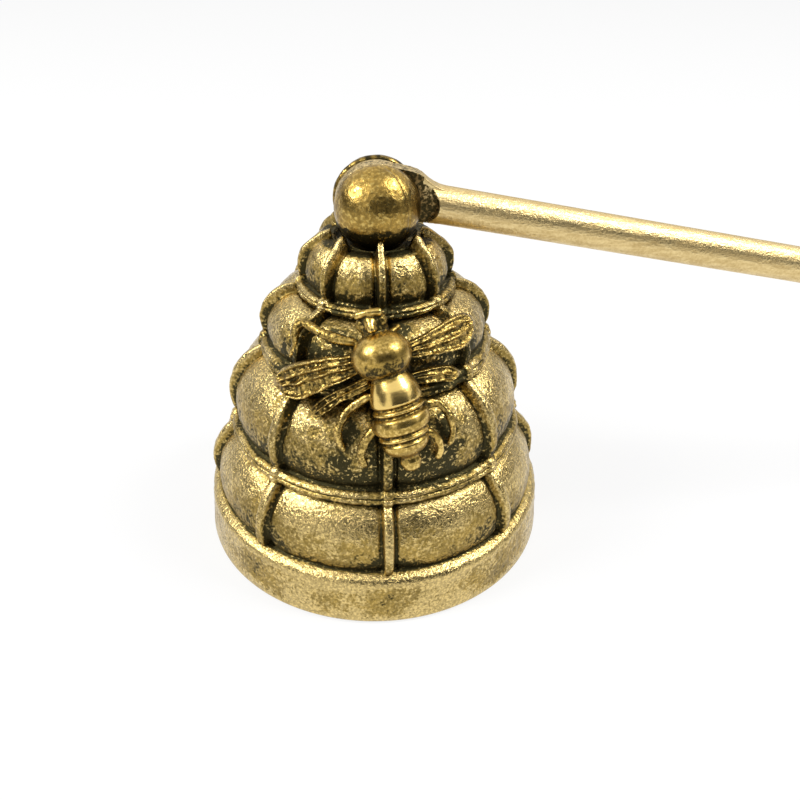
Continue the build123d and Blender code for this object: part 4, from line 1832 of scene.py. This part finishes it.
@dataclass
class Handle:
    """The long rod and the tongue that it hinges on."""

    hinge_height: float = 43.35
    slope_degrees: float = 10.7573
    rod_radius: float = 2.15
    rod_rise: float = 1.0
    rod_start: float = 9.2
    length: float = 226.0
    eye_radius: float = 4.6
    eye_bore: float = 1.3
    plate_half: float = 1.0
    voxel: float = 0.1
    face_middle: float = 4.4
    face_radius: float = 2.3
    axis_gap: float = 0.05
    sway: float = 0.012
    eye_ease: float = 0.2
    neck: tuple[tuple[float, float], ...] = (
        (1.2, 4.46),
        (2.2, 4.44),
        (3.0, 4.40),
        (3.8, 4.28),
        (4.4, 4.06),
        (4.9, 3.78),
        (5.4, 3.48),
        (6.0, 3.24),
        (6.7, 3.06),
        (7.7, 2.94),
        (7.7, -0.95),
        (4.1, -1.15),
        (1.7, -0.6),
    )

    def place(self) -> Matrix:
        """The handle's own frame at rest: hinge at the origin, rod along x."""
        slope = Matrix.Rotation(math.radians(self.slope_degrees), 4, "Y")
        return Matrix.Translation((0.0, 0.0, self.hinge_height)) @ slope

    def rod(self) -> bpy.types.Object:
        """Makes the rod, flat at its near end and round at its far end.

        Returns:
            The rod's piece.
        """
        outline = [(self.axis_gap, self.rod_start), (self.rod_radius, self.rod_start)]
        for along in np.linspace(self.rod_start, self.length, 240)[1:]:
            sway = self.sway * noise.noise(Vector((along * 0.11, 3.7, 1.9)))
            sway *= min(1.0, 0.02 * (along - self.rod_start))
            outline.append((self.rod_radius + sway, along))
        for turn in np.linspace(0.0, math.pi / 2, 16)[1:-1]:
            outline.append((self.rod_radius * math.cos(turn), self.length + self.rod_radius * math.sin(turn)))
        outline.append((self.axis_gap, self.length + self.rod_radius))
        skin = lathe(np.array(outline), 96, Axis.X, False)
        skin.points[0][:, 2] += self.rod_rise
        rod = skin.piece("rod_skin", self.place())
        rod.data.set_sharp_from_angle(angle=math.radians(50.0))
        return rod

    def eye(self) -> Shell:
        """The tongue's flat eye, open for the pin.

        Returns:
            The eye's closed skin.
        """
        half, ease = self.plate_half, self.eye_ease
        outline = [
            (self.eye_bore, -half),
            (self.eye_radius - ease, -half),
            (self.eye_radius, -half + ease),
            (self.eye_radius, half - ease),
            (self.eye_radius - ease, half),
            (self.eye_bore, half),
        ]
        return lathe(np.array(outline), 96, Axis.Y, True)

    def neck_plate(self) -> Shell:
        """The plate from the eye to the rod, as wide as the eye is thick.

        Returns:
            The plate's closed skin.
        """
        count = len(self.neck)
        points = [(x, side * self.plate_half, z) for side in (-1.0, 1.0) for x, z in self.neck]
        faces = [tuple(range(count)), tuple(reversed(range(count, 2 * count)))]
        for first in range(count):
            second = (first + 1) % count
            faces.append((second, first, first + count, second + count))
        return Shell.of(np.array(points), faces)

    def face(self, height: np.ndarray) -> np.ndarray:
        """How far along the rod its round face toward the ball lies, at heights in the handle's own frame."""
        return self.face_middle + np.sqrt(np.maximum(self.face_radius**2 - (height - self.rod_rise) ** 2, 0.0))

    def stub(self) -> Shell:
        """The round stub before the rod, hollow-faced toward the ball.

        Returns:
            The stub's closed skin.
        """
        turns = np.linspace(0.0, 2.0 * math.pi, 64, endpoint=False)
        rows = []
        for reach in np.linspace(self.axis_gap, self.rod_radius, 8):
            y, z = reach * np.cos(turns), self.rod_rise + reach * np.sin(turns)
            rows.append(np.stack([self.face(z), y, z], axis=-1))
        for reach in (self.rod_radius, self.axis_gap):
            y, z = reach * np.cos(turns), self.rod_rise + reach * np.sin(turns)
            rows.append(np.stack([np.full(len(turns), self.rod_start), y, z], axis=-1))
        return Shell.of(np.vstack(rows), capped_faces(len(rows), len(turns)))

    def tongue(self) -> bpy.types.Object:
        """Makes the tongue as one casting, with painted shade where it sits in the ball and painted shade with patina
        on its broad sides.

        Returns:
            The tongue's piece, with its relief stored.
        """
        whole = Shell()
        whole.join(self.eye())
        whole.join(self.neck_plate())
        piece = whole.piece("tongue_skin", self.place())
        run_together(piece, self.voxel, 2)
        weld(piece, self.stub().piece("stub_skin", self.place()))
        piece.data.set_sharp_from_angle(angle=math.radians(50.0))
        store_relief_and_top_light(piece, 8, 30)
        local = in_frame(read_points(piece.data)[0], self.place())
        flank_shade_and_patina = smoothstep(self.plate_half - 0.14, self.plate_half - 0.08, np.abs(local[:, 1]))
        flank_shade_and_patina = flank_shade_and_patina * (local[:, 0] < self.face(local[:, 2]) + 0.05)
        near = smoothstep(5.2, 3.6, local[:, 0])
        # Painted shade near the ball, and painted shade with patina on the broad sides, deeper toward the bottom.
        add_to(piece, "relief", -0.26 * near - flank_shade_and_patina * (0.40 + 0.20 * smoothstep(3.2, 0.2, local[:, 2])))
        return piece

    def dress(self, effects: Effects) -> None:
        """Builds rod and tongue and gives them their finish.

        Args:
            effects: The shared node groups.
        """
        drawn = SatinBrass(
            "drawn_rod_brass",
            bright=(0.88, 0.69, 0.34),
            dull=(0.62, 0.45, 0.19),
            stretch=(0.25, 1.0, 1.0),
        )
        finish = drawn.make(effects)
        settle(self.rod(), finish, Body.HANDLE, "handle_rod")
        settle(self.tongue(), finish, Body.HANDLE, "handle_tongue")


@dataclass
class HingePin:
    """The pin through both ears, filed flush."""

    node: str = "hinge_pin"

    def dress(self, effects: Effects) -> None:
        """Gives the pin's own solid its finish.

        Args:
            effects: The shared node groups.
        """
        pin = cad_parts[self.node]
        pin.data.materials.clear()
        pin.data.materials.append(rubbed_brass("filed_pin_brass").make(effects))
        LOG.info("solid %s keeps its shape", pin.name)


def flat_sheet(name: str, wide: float, high: float) -> bpy.types.Object:
    """Makes a flat sheet about the origin and links it into the scene.

    Args:
        name: The sheet's name.
        wide: Its width, in metres.
        high: Its height, in metres.

    Returns:
        The new object.
    """
    x, y = 0.5 * wide, 0.5 * high
    mesh = bpy.data.meshes.new(name)
    mesh.from_pydata([(-x, -y, 0.0), (x, -y, 0.0), (x, y, 0.0), (-x, y, 0.0)], [], [(0, 1, 2, 3)])
    sheet = bpy.data.objects.new(name, mesh)
    bpy.context.scene.collection.objects.link(sheet)
    return sheet


@dataclass(frozen=True)
class Card:
    """A dark card beside the object, which shades what the metal mirrors; sizes in metres."""

    name: str
    centre: Point
    wide: float
    high: float
    shade: float
    target: Point = (0.0, 0.0, 0.03)

    def build(self) -> None:
        """Hangs the card so that it faces the object."""
        card = flat_sheet(self.name, self.wide, self.high)
        aim = Vector(self.target) - Vector(self.centre)
        card.rotation_euler = aim.to_track_quat("Z", "Y").to_euler()
        card.location = self.centre
        material = bpy.data.materials.new(self.name)
        material.use_nodes = True
        shader = material.node_tree.nodes["Principled BSDF"]
        shader.inputs["Base Color"].default_value = (self.shade, self.shade, self.shade, 1.0)
        shader.inputs["Roughness"].default_value = 0.9
        card.data.materials.append(material)
        card.visible_camera = False
        card.visible_shadow = False
        card.visible_diffuse = False


@dataclass(frozen=True)
class Lamp:
    """A soft round lamp aimed at the bell; sizes in metres."""

    name: str
    place: Point
    diameter: float
    watts: float
    target: Point = (0.0, 0.0, 0.025)

    def build(self) -> None:
        """Hangs the lamp."""
        data = bpy.data.lights.new(self.name, "AREA")
        data.shape = "DISK"
        data.size = self.diameter
        data.energy = self.watts
        lamp = bpy.data.objects.new(self.name, data)
        lamp.location = self.place
        aim = Vector(self.target) - Vector(self.place)
        lamp.rotation_euler = aim.to_track_quat("-Z", "Y").to_euler()
        bpy.context.scene.collection.objects.link(lamp)


@dataclass
class Studio:
    """Camera, floor, cards and soft lamps; the camera's place in millimetres, the rest in metres."""

    camera_place: Point = (-6.90, -87.73, 76.78)
    azimuth_degrees: float = 4.5
    yaw_degrees: float = 2.04
    pitch_degrees: float = 34.2
    roll_degrees: float = 1.38
    lens: float = 37.215
    floor_size: float = 4.0
    floor_gap: float = 0.00002
    floor_grey: float = 0.86
    floor_glow: float = 0.80
    room_light: float = 0.6
    cards: tuple[Card, ...] = (
        Card("front_card", (0.12, -0.44, 0.22), 0.80, 0.42, 0.03),
        Card("left_card", (-0.50, -0.02, 0.16), 0.70, 0.32, 0.06),
        Card("right_card", (0.55, 0.05, 0.14), 0.70, 0.24, 0.06),
        Card("back_card", (0.0, 0.62, 0.08), 1.10, 0.14, 0.06),
    )
    lamps: tuple[Lamp, ...] = (
        Lamp("left_lamp", (-0.39, -0.06, 0.37), 0.225, 1.8),
        Lamp("right_lamp", (0.33, -0.05, 0.43), 0.205, 1.55),
    )

    def camera(self) -> None:
        """Sets the camera at the photograph's viewing angle."""
        yaw, pitch, roll = (math.radians(v) for v in (self.yaw_degrees, self.pitch_degrees, self.roll_degrees))
        forward = Vector((math.sin(yaw) * math.cos(pitch), math.cos(yaw) * math.cos(pitch), -math.sin(pitch)))
        right = Vector((math.cos(yaw), -math.sin(yaw), 0.0))
        up = right.cross(forward)
        rolled_right = math.cos(roll) * right + math.sin(roll) * up
        rolled_up = -math.sin(roll) * right + math.cos(roll) * up
        turn = Matrix.Rotation(math.radians(-self.azimuth_degrees), 3, "Z")
        axes = Matrix((turn @ rolled_right, turn @ rolled_up, -(turn @ forward))).transposed()
        data = bpy.data.cameras.new("front_camera")
        data.sensor_width = 36.0
        data.lens = self.lens
        data.clip_start = 0.005
        camera = bpy.data.objects.new("front_camera", data)
        camera.matrix_world = Matrix.Translation(Vector(self.camera_place) * MM) @ axes.to_4x4()
        bpy.context.scene.collection.objects.link(camera)
        bpy.context.scene.camera = camera

    def world(self) -> None:
        """A white surround that the camera and polished metal see, softer for everything else."""
        world = bpy.data.worlds.new("white_room")
        bpy.context.scene.world = world
        world.use_nodes = True
        world.node_tree.nodes.clear()
        wiring = Wiring(world.node_tree)
        rest = wiring.maths("MULTIPLY", wiring.seen(), 1.0 - self.room_light)
        strength = wiring.maths("ADD", rest, self.room_light)
        glow = wiring.add("ShaderNodeBackground", {"Color": (1.0, 1.0, 1.0, 1.0), "Strength": strength})
        wiring.end("ShaderNodeOutputWorld", glow.outputs["Background"])

    def floor(self) -> None:
        """A pale floor that keeps the object's soft shadow."""
        floor = flat_sheet("pale_floor", self.floor_size, self.floor_size)
        floor.location.z = -self.floor_gap
        material, wiring = blank_material("pale_paper")
        paper = wiring.add("ShaderNodeBsdfDiffuse", {"Color": (self.floor_grey, self.floor_grey, self.floor_grey, 1.0)})
        glow = wiring.add("ShaderNodeEmission", {"Color": (1.0, 1.0, 1.0, 1.0), "Strength": 1.0})
        share = wiring.maths("MULTIPLY", wiring.seen(), self.floor_glow)
        blend = wiring.add("ShaderNodeMixShader", {0: share, 1: paper.outputs[0], 2: glow.outputs[0]})
        wiring.end("ShaderNodeOutputMaterial", blend.outputs[0])
        floor.data.materials.append(material)

    def build(self) -> None:
        """Sets up the whole studio."""
        bpy.context.scene.view_settings.view_transform = "Standard"
        self.camera()
        self.world()
        self.floor()
        for stand in (*self.cards, *self.lamps):
            stand.build()


def main() -> None:
    """Builds the studio and each piece in order."""
    logging.basicConfig(level=logging.INFO, format="%(name)s: %(message)s")
    Studio().build()
    effects = Effects.make()
    hive = HiveBell()
    hive.darken_near(hive.dress(effects), Bee().dress(effects))
    for part in (BallKnob(), HingePin(), Handle()):
        part.dress(effects)


if __name__ == "__main__":
    main()
